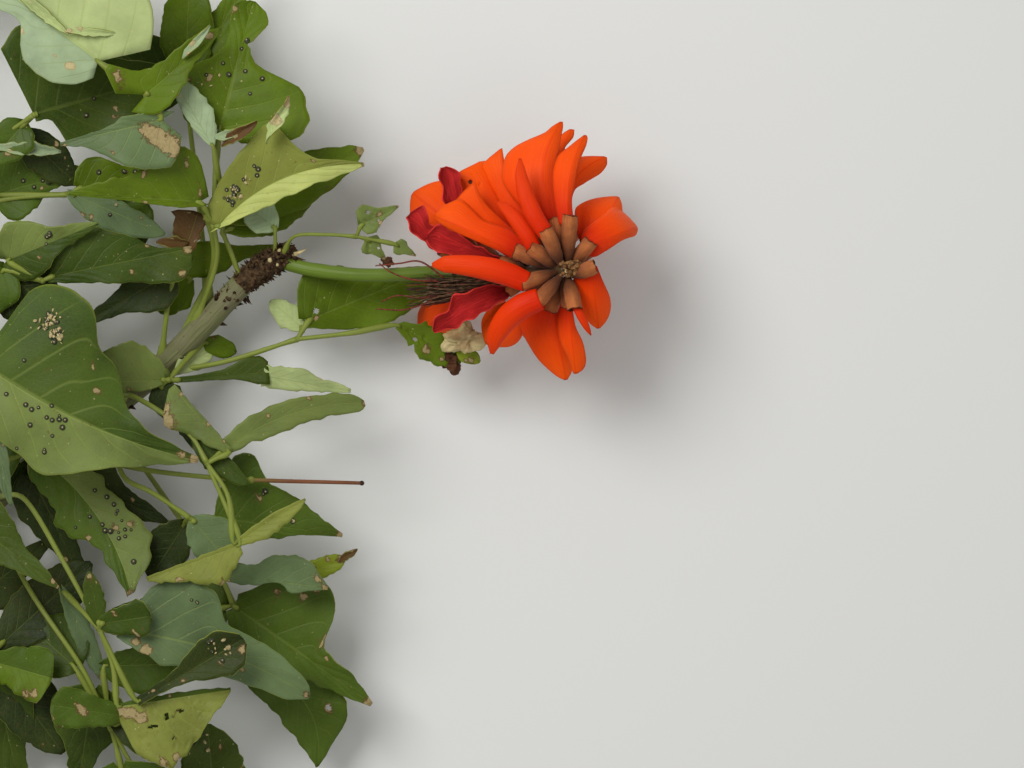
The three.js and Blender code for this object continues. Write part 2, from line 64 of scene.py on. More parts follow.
# Stems: path, radius at evenly spaced places, as in the solids
BRANCH = ([(-46, -282, -42), (0, -245, -36), (40, -214, -30), (80, -182.5, -23), (120, -142, -14)],
          [7.6, 7.0, 6.6, 6.2, 6.0])
ROUGH_TIP = ([(120, -142, -14), (130, -134, -11), (139, -129, -8), (148, -125, -5)],
             [5.8, 6.6, 6.8, 4.6])
SHOOT = ([(-8, -250, -36), (-30, -190, -26), (-36, -110, -14), (-24, -30, -2), (-12, 6, 6)],
         [3.6, 3.0, 2.4, 1.8])
PEDUNCLE = ([(142, -131, -8), (152, -134, -4), (180, -137.5, 0), (215, -136.5, 0)], [3.7, 3.5, 3.4])
AXIS = ([(216, -136.5, 0), (245, -137, 4), (268, -136.5, 18), (283, -135.5, 38)], [3.6, 3.8, 3.4, 2.6])
BARE_RACHIS = ([(38, -215.5, -30), (58, -231, -6), (68, -234, 3), (111, -239, 6), (181, -241.5, 4)],
               [2.0, 1.3, 1.1, 0.9])
BRUSH = [(252, -139, 8), (238, -143, 10), (216, -145, 9), (194, -146, 7)]

STALK_FOOT = 2.6
STALK_MIDDLE = 1.3
STALK_END = 1.1
LEAFLET_STALK = 1.15
BLADE_EDGE = 0.4
FINE_STEPS = 16
LEAST_WIDTH = 0.3
VEIN_SLOPE = 0.3

# Cross-section of a blade: softness of its fold, drop at the midrib, depth and reach of the groove
FOLD_SOFTNESS = 0.6
FOLD_DROP = 0.775
GROOVE_DEPTH = 0.6
GROOVE_REACH = 1.3

# Leaflets no wider than this get one random spot. Galls that spread less than this are husks too, by a share
SMALL_LEAFLET = 14
TIGHT_GALLS = 10
HUSK_SHARE = 0.62

# The frame's place of the view's corner
SHIFT = Vector(frame["record"]["mounts"][0]["pos_m"]) - Vector(BRANCH[0][0]) * MM
TO_FRAME = Matrix.Translation(SHIFT) @ Matrix.Scale(MM, 4)


def line(*numbers):
    """Outline of a blade: percent of its length and half width there, in turn."""
    return [(place / 100, wide) for place, wide in zip(numbers[::2], numbers[1::2])]


# Outlines in shares of the greatest half width
LOBED = line(0, 0.1, 5, 0.62, 12, 0.9, 20, 1, 36, 0.82, 54, 0.42, 77, 0.25, 100, 0.02)
ROUNDED = line(0, 0.08, 12, 0.58, 38, 1, 66, 0.88, 88, 0.5, 100, 0.06)
SLENDER = line(0, 0.1, 14, 0.62, 40, 1, 70, 0.82, 92, 0.36, 100, 0.04)
BLUNT = line(0, 0.16, 15, 0.5, 50, 0.82, 78, 1, 92, 0.84, 100, 0.2)
BROAD = line(0, 0.34, 15, 0.44, 35, 0.7, 55, 0.95, 68, 1, 82, 0.86, 92, 0.52, 97, 0.24, 100, 0.04)
BIG = (line(0, 0.1, 3, 0.2, 5.5, 0.42, 8.5, 0.78, 15.4, 0.96, 29.6, 1, 37, 0.9, 43, 0.68, 54, 0.54, 64, 0.27, 77,
            0.13, 100, 0.02),
       line(0, 0.2, 10, 0.62, 33.5, 0.78, 44.7, 0.86, 60, 0.56, 81, 0.24, 100, 0.02))

# Margins of single blades, in millimetres from the midrib. Pairs are left and right.
FRONT_TOP = line(0, 6, 5, 9.4, 12, 13.7, 30, 19.5, 45, 25, 55, 28, 60, 26.1, 64, 17.2, 70, 7.5, 82, 3.2, 100, 0.5)
CREST = (line(0, 8, 5, 17, 20, 24, 40, 20, 55, 10, 64, 7, 75, 8, 86, 9, 95, 7, 100, 1),
         line(0, 12, 5, 30, 16, 41, 38, 38, 46, 32, 50, 18, 54, 9, 68, 4.4, 76, 7, 82, 9.3, 93, 8, 100, 1))
WILLOW = line(0, 1.5, 12, 5, 25, 6.5, 45, 6.8, 70, 5.6, 88, 5, 96, 3.5, 100, 1)
WAXY = (line(0, 4, 4, 12, 8, 24, 19, 31, 36, 29, 43, 23, 48, 15.5, 59, 12.5, 73, 12, 89, 8, 98.5, 4, 100, 1),
        line(0, 2, 17, 9.8, 27, 12.7, 38, 12, 67, 9.6, 79, 8.5, 92, 5.7, 100, 1))
EAST = (line(0, 6, 5, 12, 12, 26, 25, 33, 37, 35, 46, 31, 52, 23, 55.5, 11, 63, 8, 82, 5.5, 100, 0.5),
        line(0, 4, 10, 14, 20, 22, 36, 20, 54, 10, 77, 6, 100, 0.5))
ROLLED_BACK = line(0, 10, 3, 21, 8, 23, 14, 15.5, 20, 10.5, 35, 7, 65, 6.5, 87, 3.4, 100, 0.5)
PATCHED = (line(0, 10, 4, 18, 12, 24, 30, 22, 44, 19, 60, 11, 77, 4.5, 100, 0.5),
           line(0, 2, 10, 4, 37, 5, 55, 2, 100, 0.5))
SWOLLEN = (line(0, 1, 40, 2.2, 60, 4.5, 76, 8, 90, 8.5, 100, 5), line(0, 1, 50, 1.6, 70, 2.6, 85, 5, 100, 6))
PENNANT = (line(0, 5, 40, 6.6, 50, 6, 62, 3.6, 85, 2.5, 100, 0.6), line(0, 5, 30, 4.8, 60, 3, 85, 1.6, 100, 0.6))
DROOPED = (line(0, 6, 8, 14, 20, 18, 34, 19.5, 50, 15, 63, 10, 77, 3, 100, 0.6),
           line(0, 2, 16, 5, 52, 10.5, 84, 15, 93, 13.5, 98, 9, 100, 4))
DRAPED = line(0, 1, 22, 5.6, 47, 9.3, 62, 14, 72, 15.4, 82, 12, 90, 8, 100, 2)
FOLDED_LOW = line(0, 4, 12, 9, 22, 14, 32, 14.3, 47, 12, 62, 8, 85, 4, 100, 1)
FOLD_LINE = line(0, 1.6, 30, 1.6, 60, 1.2, 100, 1)
SPREAD = (line(0, 8, 3.5, 21, 7, 30, 12, 33, 20, 34, 27, 31, 31, 26, 35, 22.5, 42, 20, 63, 15, 80, 7.6, 100, 0.5),
          line(0, 3, 20, 5.5, 37, 6.4, 52, 5.4, 65, 2.6, 85, 1, 100, 0.5))
NOTCHED = (line(0, 3, 20, 6.5, 35, 7, 45, 11.7, 65, 13.7, 82, 11.8, 92, 6, 100, 0.5),
           line(0, 2, 20, 3, 35, 2.8, 50, 0.4, 60, 0.6, 68, 4.2, 85, 2.2, 100, 0.5))
BENEATH = line(0, 2, 6, 4, 17, 8.3, 36, 14.3, 52, 16.4, 63, 15.8, 90, 12, 100, 5)
TATTERED = line(0, 1.6, 26, 4.8, 44, 8.6, 63, 8.8, 83, 6.4, 100, 2)
CREASED = (line(0, 4, 30, 3.2, 70, 3.2, 88, 2.6, 100, 0.5),
           line(0, 5.5, 10, 8, 23, 9.2, 51, 8.2, 66, 11, 83, 13.6, 90, 10.4, 98, 5, 100, 1))
CORNER = (line(0, 3, 30, 4, 53, 4.8, 75, 7, 92, 10.5, 98, 12, 100, 6), line(0, 4, 40, 3.5, 70, 1.5, 100, 0.5))
NIBBLED = (line(0, 4, 30, 5.5, 60, 6.6, 88, 8, 97, 6.5, 100, 3),
           line(0, 5, 30, 8.6, 60, 13, 85, 16.5, 95, 15.5, 98.5, 10, 100, 3))
SAIL = (line(0, 3, 24, 5.5, 57, 8, 83, 11, 93.5, 12.2, 97, 7, 100, 0.5),
        line(0, 5, 30, 6, 55, 4, 70, 1.2, 90, 0.8, 100, 0.4))
SECOND = (line(0, 4, 50, 6, 85, 5, 95, 4, 100, 1.2), line(0, 3, 50, 2, 80, 0.5, 87, 1.6, 93, 2.4, 100, 1))
ROUND = (line(0, 5, 30, 8, 60, 12, 80, 13, 85.7, 12.2, 90.7, 9.4, 96.3, 5.2, 100, 1),
         line(0, 5, 30, 9, 60, 14, 80, 16.5, 85, 16, 91.3, 12.6, 96.7, 7, 100, 1))
FROSTED = line(0, 8, 4, 14.5, 12, 21.4, 20, 23.5, 29, 22, 38, 17.8, 42, 13, 46, 9, 52, 7.6, 60, 8.8, 68, 8.4, 85, 5,
               100, 0.5)
PALE_LOBE = line(0, 20, 3, 30, 8, 38, 15, 42, 35, 46, 60, 38, 85, 18, 100, 0.5)
BEHIND = (line(0, 36, 10, 44, 20, 42, 35, 30, 60, 16, 80, 8, 100, 0.5),
          line(0, 3, 10, 4.5, 13, 11, 15.5, 19, 27, 21, 43, 18, 70, 12, 100, 0.5))
HOLLY = (line(0, 6, 10, 12, 27, 13, 49, 16, 71, 19, 83, 17.5, 91, 9, 97, 4, 100, 0.5),
         line(0, 4, 10, 9, 22, 13, 42, 14.4, 60, 14, 80, 9, 92, 4, 100, 0.5))
GALLED = (line(0, 4, 20, 12, 44, 13, 55, 15, 67, 18, 82, 17, 93, 11, 96, 5.6, 100, 2),
          line(0, 4, 13, 10, 30, 14, 42, 18, 50, 17, 57, 13, 66, 7, 75, 6.8, 86, 4.4, 100, 2))
TORN_LOW = line(0, 8, 2, 11, 8, 21, 19, 28, 27, 31, 37, 33.5, 50, 29.5, 66, 21, 82, 10.6, 95, 4, 100, 0.5)
PADDLE = line(0, 2, 30, 3, 45, 5, 60, 9, 75, 12, 90, 11, 100, 3)
FAN = (line(0, 6, 20, 14, 40, 21, 50, 23, 68, 23, 74.2, 22, 80.7, 18.3, 85.3, 12.5, 90, 5.5, 95.5, 3.4, 100, 0.5),
       line(0, 4, 17, 5.4, 32, 6.6, 52, 6, 66.5, 5.8, 77, 5.6, 88, 3.9, 96, 2.2, 100, 0.5))
HOOK = (line(0, 5.5, 30, 7.5, 56, 9.8, 74, 10, 80, 8.5, 85, 6.2, 93.6, 3, 100, 0.5),
        line(0, 3, 27, 2.2, 46, 3, 65, 2.6, 78, 2.9, 89, 2.9, 98, 1.5, 100, 0.4))
BACK = (line(0, 2, 30, 6, 60, 10, 85, 11, 95, 8, 100, 1), line(0, 1, 47, 2, 60, 5, 80, 7.4, 93, 5, 100, 0.5))
EAR = (line(0, 5, 10, 8.5, 27, 10.8, 50, 13, 75, 15, 88, 13.4, 96, 9, 100, 3),
       line(0, 4, 8, 6.5, 20, 6, 50, 3.7, 64, 3.4, 85, 3.6, 95, 2.4, 100, 0.6))
WING_LEFT = line(0, 6, 20, 12, 45, 17, 56, 17, 79, 11, 93, 5, 100, 0.5)
SIDE = (line(0, 3, 27, 5.5, 55, 8, 76, 7.6, 92, 4.4, 100, 0.5),
        line(0, 5, 20, 10, 37, 10, 60, 8.5, 83, 6, 95, 3, 100, 0.5))
SKIRT = (line(0, 5, 30, 6, 60, 6, 90, 4, 100, 0.5),
         line(0, 6, 10, 15, 20, 19, 37, 18.5, 55, 16, 71, 12.8, 88, 7, 96, 3.5, 100, 0.5))
TONGUE = (line(0, 1.6, 35, 2.4, 58, 5.6, 78, 6.6, 90, 6, 98, 3.5, 100, 1),
          line(0, 2, 24, 6.7, 50, 6.9, 65, 5, 80, 2.6, 95, 1.4, 100, 0.5))

def paint(red, green, blue):
    """Linear colour of values from 0 to 255 as a screen shows them."""
    shares = [value / 255 for value in (red, green, blue)]
    return tuple(s / 12.92 if s <= 0.04045 else ((s + 0.055) / 1.055) ** 2.4 for s in shares)


def colour(name, description, *values):
    """Colour property of a finish."""
    return bpy.props.FloatVectorProperty(
        name=name, description=description, subtype="COLOR", size=3, min=0, max=1, default=paint(*values))


def length(name, description, millimetres):
    """Length property, in metres."""
    return bpy.props.FloatProperty(
        name=name, description=description, subtype="DISTANCE", unit="LENGTH", min=0,
        default=millimetres * MM)


def mixed(first, share, second=(0, 0, 0), other=0.0):
    """A share of one colour, with a share of another added."""
    return tuple(share * a + other * b for a, b in zip(first, second))


class BranchSettings(bpy.types.PropertyGroup):
    """Sizes and colours of the woody branch and the green stems."""

    fissure: length("Fissure depth", "Depth of the bark's fine furrows", 0.22)
    prickle: length("Prickle length", "Length of the prickles on the branch", 4.2)
    bark: colour("Bark", "Grey-brown bark", 122, 118, 88)
    furrow: colour("Furrows", "Dark furrows of the bark", 80, 72, 50)
    rough: colour("Rough bark", "Flaking bark near the tip", 92, 70, 44)
    stem: colour("Green stem", "Young stems and the flower stalk", 98, 120, 34)
    petiole: colour("Leaf stalk", "Stalks of leaves and leaflets", 124, 142, 50)
    stub: colour("Stubs", "Dry stubs and prickles", 66, 42, 28)


class FoliageSettings(bpy.types.PropertyGroup):
    """Sizes and colours of the leaves."""

    thickness: length("Thickness", "Thickness of a leaflet", 0.6)
    cell: length("Cell", "Size of a cell of a leaflet's mesh", 2.0)
    quilting: length("Quilting", "Swelling of a leaflet between its veins", 0.5)
    bright: colour("Bright", "Leaflet lit from behind", 80, 102, 2)
    fresh: colour("Fresh", "Young yellow-green leaflet", 118, 132, 24)
    mid: colour("Middle green", "Full-grown leaflet", 64, 86, 16)
    deep: colour("Deep green", "Shaded leaflet", 52, 70, 12)
    olive: colour("Olive", "Ageing leaflet", 122, 128, 54)
    veined: colour("Veined", "Dark leaf with clear pale veins", 60, 80, 20)
    sunlit: colour("Sunlit", "Leaf with the sun on it", 178, 186, 104)
    sage: colour("Sage", "Dull grey-green leaflet", 104, 118, 58)
    blue: colour("Blue-green", "Leaflet with a waxy bloom", 92, 112, 74)
    pale: colour("Pale", "Underside of a leaflet", 170, 184, 122)
    frost: colour("Frosted", "Pale blue-green underside", 150, 168, 130)
    # Painted shade: leaflets deep inside the foliage take this near-black green for the shade they lie in, also where
    # they fill gaps that show only shade.
    dark: colour("Dark", "Leaflet deep inside the foliage", 38, 50, 16)
    dry: colour("Dry", "Dead brown tissue", 120, 92, 48)
    cream: colour("Cream", "Bleached dead tissue", 208, 192, 140)
    vein: colour("Veins", "Veins of the leaflets", 146, 160, 78)
    margin: colour("Margin", "Thin rim of the leaflets", 142, 150, 62)
    gall: colour("Gall", "Dark swellings on the leaflets", 72, 76, 56)
    umber: colour("Umber", "Dead leaf that has turned dark brown", 88, 54, 32)
    husk: colour("Husk", "Dry crumbs on old galls", 204, 186, 134)


class FlowerSettings(bpy.types.PropertyGroup):
    """Sizes and colours of the flowers."""

    thickness: length("Petal thickness", "Thickness of a petal", 0.6)
    cell: length("Cell", "Size of a cell of a petal's mesh", 1.3)
    filaments: bpy.props.IntProperty(
        name="Filaments", description="Stamens behind each standard petal", default=7, min=0)
    petal: colour("Petal", "Fresh petal", 252, 80, 4)
    # Painted shade: the deep petal colour is laid at the base and along the crease of each petal.
    deep: colour("Deep petal", "Base and folds of a petal", 214, 38, 2)
    rolled: colour("Rolled petal", "Petal that is still rolled up", 232, 60, 3)
    withered: colour("Withered", "Withered petal", 234, 56, 54)
    # Painted shade: the withered folds colour is laid at the base and along the crease of each withered petal.
    withered_deep: colour("Withered folds", "Folds of a withered petal", 166, 24, 28)
    calyx: colour("Calyx", "Velvety calyx", 194, 112, 58)
    # Besides the blotches, this colour gives painted shade at the foot of each calyx, inside its mouth and behind the
    # holes in petals.
    calyx_dark: colour("Calyx shade", "Dark blotches of the calyx", 98, 52, 28)
    filament: colour("Filament", "Fresh stamens", 190, 52, 28)
    dead: colour("Dead stamens", "Withered stamens", 76, 58, 40)


class StageSettings(bpy.types.PropertyGroup):
    """Camera, floor and lights."""

    distance: length("Distance", "Camera's distance from the level of the flower stalk", 3000)
    width: length("Width", "Width of the view at that level", 512)
    height: length("Height", "Height of the view at that level", 384)
    floor: length("Floor", "Side of the floor", 16000)
    floor_colour: colour("Floor colour", "Pale floor", 226, 226, 222)
    key: bpy.props.FloatProperty(
        name="Key light", description="Power of the key light, in watts", default=24, min=0)
    fill: bpy.props.FloatProperty(
        name="Fill light", description="Power of the fill light, in watts", default=4, min=0)
    sky: bpy.props.FloatProperty(
        name="Sky", description="Strength of the even light from all round", default=0.38, min=0)


# Shaders


class Tree:
    """Short ways to add and join the nodes of one node tree."""

    def __init__(self, tree):
        self.tree = tree

    def join(self, source, socket):
        """Links a socket, or sets a value."""
        if isinstance(source, bpy.types.NodeSocket):
            self.tree.links.new(source, socket)
        else:
            socket.default_value = source

    def add(self, kind, inputs=None, **settings):
        node = self.tree.nodes.new(kind)
        for name, value in settings.items():
            setattr(node, name, value)
        for name, value in (inputs or {}).items():
            self.join(value, node.inputs[name])
        return node

    def maths(self, operation, first, second=0.0, third=0.0, clamp=False):
        inputs = {0: first, 1: second, 2: third}
        return self.add("ShaderNodeMath", inputs, operation=operation, use_clamp=clamp).outputs[0]

    def times(self, value, factor):
        return self.maths("MULTIPLY", value, factor)

    def blend(self, factor, first, second, share=1.0):
        """Mix of two colours, by a share of a factor."""
        first, second = (tone if isinstance(tone, bpy.types.NodeSocket) else (*tone, 1) for tone in (first, second))
        factor = factor if share == 1 else self.times(factor, share)
        return self.add("ShaderNodeMix", {0: factor, 6: first, 7: second}, data_type="RGBA").outputs[2]

    def steps(self, value, low, high, start=0.0, end=1.0):
        """Smooth rise from start to end as a value goes from low to high."""
        inputs = {"Value": value, "From Min": low, "From Max": high, "To Min": start, "To Max": end}
        return self.add("ShaderNodeMapRange", inputs, interpolation_type="SMOOTHSTEP").outputs["Result"]

    def noise(self, place, scale, detail=3.0, roughness=0.55):
        inputs = {"Vector": place, "Scale": scale, "Detail": detail, "Roughness": roughness}
        return self.add("ShaderNodeTexNoise", inputs).outputs["Fac"]

    def place(self, kind="Object"):
        return self.add("ShaderNodeTexCoord").outputs[kind]

    def own_map(self):
        """Distance from the midline and share of the length, on a stem or a blade."""
        parts = self.add("ShaderNodeSeparateXYZ", {0: self.place("UV")}).outputs
        return self.maths("ABSOLUTE", self.maths("MULTIPLY_ADD", parts[0], 2.0, -1.0)), parts[1]

    def relief(self, height, depth, strength=1.0):
        """Fine relief of a finish, with its depth in millimetres."""
        inputs = {"Strength": strength, "Distance": depth * MM, "Height": height}
        return self.add("ShaderNodeBump", inputs).outputs["Normal"]

    def effect(self, name, **inputs):
        """The output of a shared effect, or all of them where it has more."""
        outputs = self.add("ShaderNodeGroup", inputs, node_tree=effect_group(name)).outputs
        return outputs if len(outputs) > 1 else outputs[0]


def effect_group(name):
    """Node group that several finishes share, made once."""
    group = bpy.data.node_groups.get(name)
    if group:
        return group
    group = bpy.data.node_groups.new(name, "ShaderNodeTree")
    inputs, outputs, build = EFFECTS[name]
    for label, default in inputs.items():
        socket = group.interface.new_socket(name=label, in_out="INPUT", socket_type="NodeSocketFloat")
        socket.default_value = default
    for label in outputs:
        group.interface.new_socket(name=label, in_out="OUTPUT", socket_type="NodeSocketFloat")
    tree = Tree(group)
    results = build(tree, tree.add("NodeGroupInput").outputs)
    tree.add("NodeGroupOutput", dict(zip(outputs, results)))
    return group


def build_veins(tree, given):
    """Midrib and side veins from the leaflet's own map."""
    out, ahead = tree.own_map()
    midrib = tree.steps(out, 0.012, 0.045, 1.0, 0.0)
    phase = tree.times(tree.maths("SUBTRACT", ahead, tree.times(out, given["Slope"])), given["Laterals"])
    off = tree.maths("ABSOLUTE", tree.maths("SUBTRACT", phase, tree.maths("ROUND", phase)))
    width = tree.maths("MULTIPLY_ADD", out, -0.03, 0.075)
    side = tree.maths("SUBTRACT", 1.0, tree.maths("DIVIDE", off, width), clamp=True)
    side = tree.times(side, tree.steps(out, 0.72, 1.0, 0.8, 0.1))
    cells = tree.add("ShaderNodeTexVoronoi", {"Vector": tree.place(), "Scale": given["Net"]},
                     feature="DISTANCE_TO_EDGE")
    net = tree.steps(cells.outputs["Distance"], 0.0, 0.14, 1.0, 0.0)
    return [tree.maths("MAXIMUM", midrib, side), net, out]


def build_mottle(tree, given):
    """Soft blotches."""
    cloud = tree.noise(tree.place(), given["Scale"], 4.0, 0.6)
    low, high = (tree.maths(sign, 0.5, given["Softness"]) for sign in ("SUBTRACT", "ADD"))
    return [tree.steps(cloud, low, high)]


def build_flecks(tree, given):
    """Scattered small dots."""
    cells = tree.add("ShaderNodeTexVoronoi", {"Vector": tree.place(), "Scale": given["Scale"]})
    drift = tree.maths("MULTIPLY_ADD", tree.noise(tree.place(), 160.0), 2.4, -0.9)
    size = tree.times(given["Size"], drift)
    return [tree.steps(tree.maths("SUBTRACT", cells.outputs["Distance"], size), -0.03, 0.03, 1.0, 0.0)]


def build_dryness(tree, given):
    """Dead patches with ragged borders, where the mesh is marked as dry."""
    mark = tree.add("ShaderNodeAttribute", attribute_name="dry").outputs["Fac"]
    rag = tree.noise(tree.place(), given["Scale"], 6.0, 0.72)
    both = tree.maths("ADD", mark, tree.maths("MULTIPLY_ADD", rag, 2.2, -1.1))
    return [tree.steps(both, low, high) for low, high in ((0.42, 0.5), (0.16, 0.5), (0.47, 0.72))]


def build_streaks(tree, given):
    """Fine lines along a petal or a stem, from its own map."""
    scale = tree.add("ShaderNodeCombineXYZ", {0: given["Across"], 1: given["Along"], 2: 1.0}).outputs[0]
    place = tree.add("ShaderNodeVectorMath", {0: tree.place("UV"), 1: scale}, operation="MULTIPLY").outputs[0]
    return [tree.steps(tree.noise(place, 1.0, 2.0), 0.3, 0.7)]


# Shared effects: inputs, outputs and what builds them
EFFECTS = {
    "Leaf veins": ({"Laterals": 7.0, "Slope": VEIN_SLOPE, "Net": 420.0}, ["Veins", "Net", "Out"], build_veins),
    "Mottle": ({"Scale": 30.0, "Softness": 0.2}, ["Value"], build_mottle),
    "Flecks": ({"Scale": 120.0, "Size": 0.2}, ["Mask"], build_flecks),
    "Dryness": ({"Scale": 380.0}, ["Dead", "Tinged", "Heart"], build_dryness),
    "Streaks": ({"Across": 60.0, "Along": 2.0}, ["Value"], build_streaks),
}


def finish(name, build):
    """Material with one Principled shader, made once. build gives the values of its sockets."""
    material = bpy.data.materials.get(name)
    if material:
        return material
    material = bpy.data.materials.new(name)
    material.use_nodes = True
    material.node_tree.nodes.clear()
    tree = Tree(material.node_tree)
    shader = tree.add("ShaderNodeBsdfPrincipled", build(tree))
    tree.add("ShaderNodeOutputMaterial", {"Surface": shader.outputs[0]})
    return material


def surface(tone, roughness, gloss, **more):
    """Sockets of a finish."""
    return {"Base Color": tone, "Roughness": roughness, "Specular IOR Level": gloss, **more}


# How clearly the veins show on the greener leaves, and on all others
RIBS = {"dark": 0.22, "deep": 0.28, "mid": 0.3, "bright": 0.34, "fresh": 0.4}
CLEAR_RIBS = 0.6


def leaf_finish(look, underside=False):
    """Leaf tissue with veins, blotches, pale flecks and dead patches."""
    tones = bpy.context.scene.coral_foliage
    base = tuple(getattr(tones, look))
    dead = tones.cream if look in ("pale", "frost") else tones.dry
    if underside:
        base = mixed(base, 0.55, tones.frost, 0.45)

    def build(tree):
        veins = tree.effect("Leaf veins")
        cloud = tree.effect("Mottle", Scale=38.0, Softness=0.24)
        patches = tree.effect("Mottle", Scale=15.0, Softness=0.12)
        flecks = tree.effect("Flecks", Scale=270.0, Size=0.17)
        dry = tree.effect("Dryness")
        grain = tree.noise(tree.place(), 700.0)
        ribs = mixed(base, 0.5, tones.vein, 0.5)
        tissue = tree.blend(cloud, mixed(base, 0.7), [min(1.0, value) for value in mixed(base, 1.22)])
        tissue = tree.blend(patches, tissue, mixed(base, 1.05, tones.margin, 0.12), 0.5)
        tissue = tree.blend(veins["Net"], tissue, ribs, 0.07)
        tissue = tree.blend(veins["Veins"], tissue, ribs, RIBS.get(look, CLEAR_RIBS))
        tissue = tree.blend(flecks, tissue, mixed(base, 0.35, tones.cream, 0.65), 0.6)
        tissue = tree.blend(tree.steps(veins["Out"], 0.972, 0.995, 0.0, 0.4), tissue, tones.margin)
        tissue = tree.blend(dry["Tinged"], tissue, mixed(base, 0.5, dead, 0.35))
        scorched = tree.blend(dry["Heart"], mixed(dead, 0.5), mixed(dead, 0.4, tones.cream, 0.6))
        scorched = tree.blend(grain, scorched, mixed(dead, 0.35), 0.6)
        tissue = tree.blend(dry["Dead"], tissue, scorched)
        wax = tree.maths("MULTIPLY_ADD", cloud, 0.16, 0.56 if underside else 0.42)
        dull = tree.maths("MAXIMUM", wax, tree.times(dry["Dead"], 0.85))
        sunk = tree.maths("MULTIPLY_ADD", veins["Veins"], -1.0, tree.times(grain, 0.35))
        height = tree.maths("SUBTRACT", sunk, tree.times(veins["Net"], 0.15))
        return surface(tissue, dull, 0.16, Normal=tree.relief(height, 0.3, 0.6))

    return finish(f"{look} {'underside' if underside else 'leaf'}", build)


def rim_finish():
    """Thin yellowish rim of the leaflets."""
    tones = bpy.context.scene.coral_foliage

    def build(tree):
        cloud = tree.effect("Mottle", Scale=120.0, Softness=0.2)
        tissue = tree.blend(cloud, mixed(tones.margin, 0.7), tones.margin)
        return surface(tree.blend(tree.effect("Dryness")["Dead"], tissue, tones.dry), 0.5, 0.24)

    return finish("Leaf rim", build)


def speckled_finish(name, light, dark, scale, roughness=0.75, depth=0.3):
    """Dull tissue in two tones with a fine grain. dark is a colour, or a share of the light one."""
    dark = mixed(light, dark) if isinstance(dark, float) else dark

    def build(tree):
        grain = tree.noise(tree.place(), scale, 4.0, 0.65)
        tone = tree.blend(tree.steps(grain, 0.35, 0.65), dark, light)
        return surface(tone, roughness, 0.2, Normal=tree.relief(grain, depth))

    return finish(name, build)


def stem_finish(name, base, blush, later=None, span=(0.5, 0.8)):
    """Smooth young stem with faint lines along it, which may turn to a later colour over a span."""
    def build(tree):
        cloud = tree.effect("Mottle", Scale=55.0, Softness=0.3)
        lines = tree.effect("Streaks", Across=26.0, Along=3.0)
        tone = tree.blend(cloud, mixed(base, 0.74), base)
        tone = tree.blend(lines, tone, blush, 0.35)
        tone = tree.blend(tree.effect("Flecks", Scale=260.0, Size=0.22), tone, blush, 0.4)
        if later:
            turned = tree.blend(cloud, mixed(later, 0.6), later)
            tone = tree.blend(tree.steps(tree.own_map()[1], *span), tone, turned)
        dull = tree.maths("MULTIPLY_ADD", cloud, 0.15, 0.36)
        return surface(tone, dull, 0.3, Normal=tree.relief(lines, 0.12, 0.6))

    return finish(name, build)


def bark_finish():
    """Grey-brown bark with long furrows and corky dots."""
    tones = bpy.context.scene.coral_branch

    def build(tree):
        lines = tree.effect("Streaks", Across=34.0, Along=16.0)
        cloud = tree.effect("Mottle", Scale=70.0, Softness=0.25)
        dots = tree.effect("Flecks", Scale=330.0, Size=0.3)
        tone = tree.blend(cloud, mixed(tones.bark, 0.6, tones.stem, 0.4), tones.bark)
        tone = tree.blend(lines, tone, tones.furrow, 0.34)
        tone = tree.blend(dots, tone, tones.rough, 0.6)
        dull = tree.maths("MULTIPLY_ADD", cloud, 0.12, 0.66)
        return surface(tone, dull, 0.25, Normal=tree.relief(tree.maths("SUBTRACT", dots, lines), 0.22))

    return finish("Bark", build)


def petal_finish(name, light, deep, wrinkles=0.12, painted_backlight=0.3, rim=0.22):
    """Satin petal with fine lines: painted shade deepens its base and its crease, a painted glow of light shining
    through turns its tip more orange, and a painted highlight pales its rim.
    """
    def build(tree):
        out, ahead = tree.own_map()
        lines = tree.effect("Streaks", Across=48.0, Along=1.6)
        cloud = tree.effect("Mottle", Scale=34.0, Softness=0.3)
        # Painted shade: deeper red at the base of the petal and along its crease.
        base = tree.steps(ahead, 0.0, 0.55, 0.75, 0.0)
        crease = tree.steps(out, 0.0, 0.1, 0.28, 0.0)
        depth = tree.maths("ADD", tree.maths("MAXIMUM", base, crease), tree.times(lines, 0.1))
        depth = tree.maths("ADD", depth, tree.times(cloud, 0.26), clamp=True)
        # Painted light: more orange towards the tip, like light shining through the petal.
        tone = tree.blend(tree.steps(ahead, 0.4, 1.0, 0.0, painted_backlight), light, paint(255, 112, 6))
        tone = tree.blend(depth, tone, deep)
        # Painted highlight: a paler rim along the petal's edge.
        pale = mixed(light, 0.7, paint(255, 190, 110), 0.3)
        tone = tree.blend(tree.steps(out, 0.93, 0.99, 0.0, rim), tone, pale)
        dull = tree.maths("MULTIPLY_ADD", cloud, 0.14, 0.42)
        return surface(tone, dull, 0.11, Normal=tree.relief(lines, wrinkles))

    return finish(name, build)


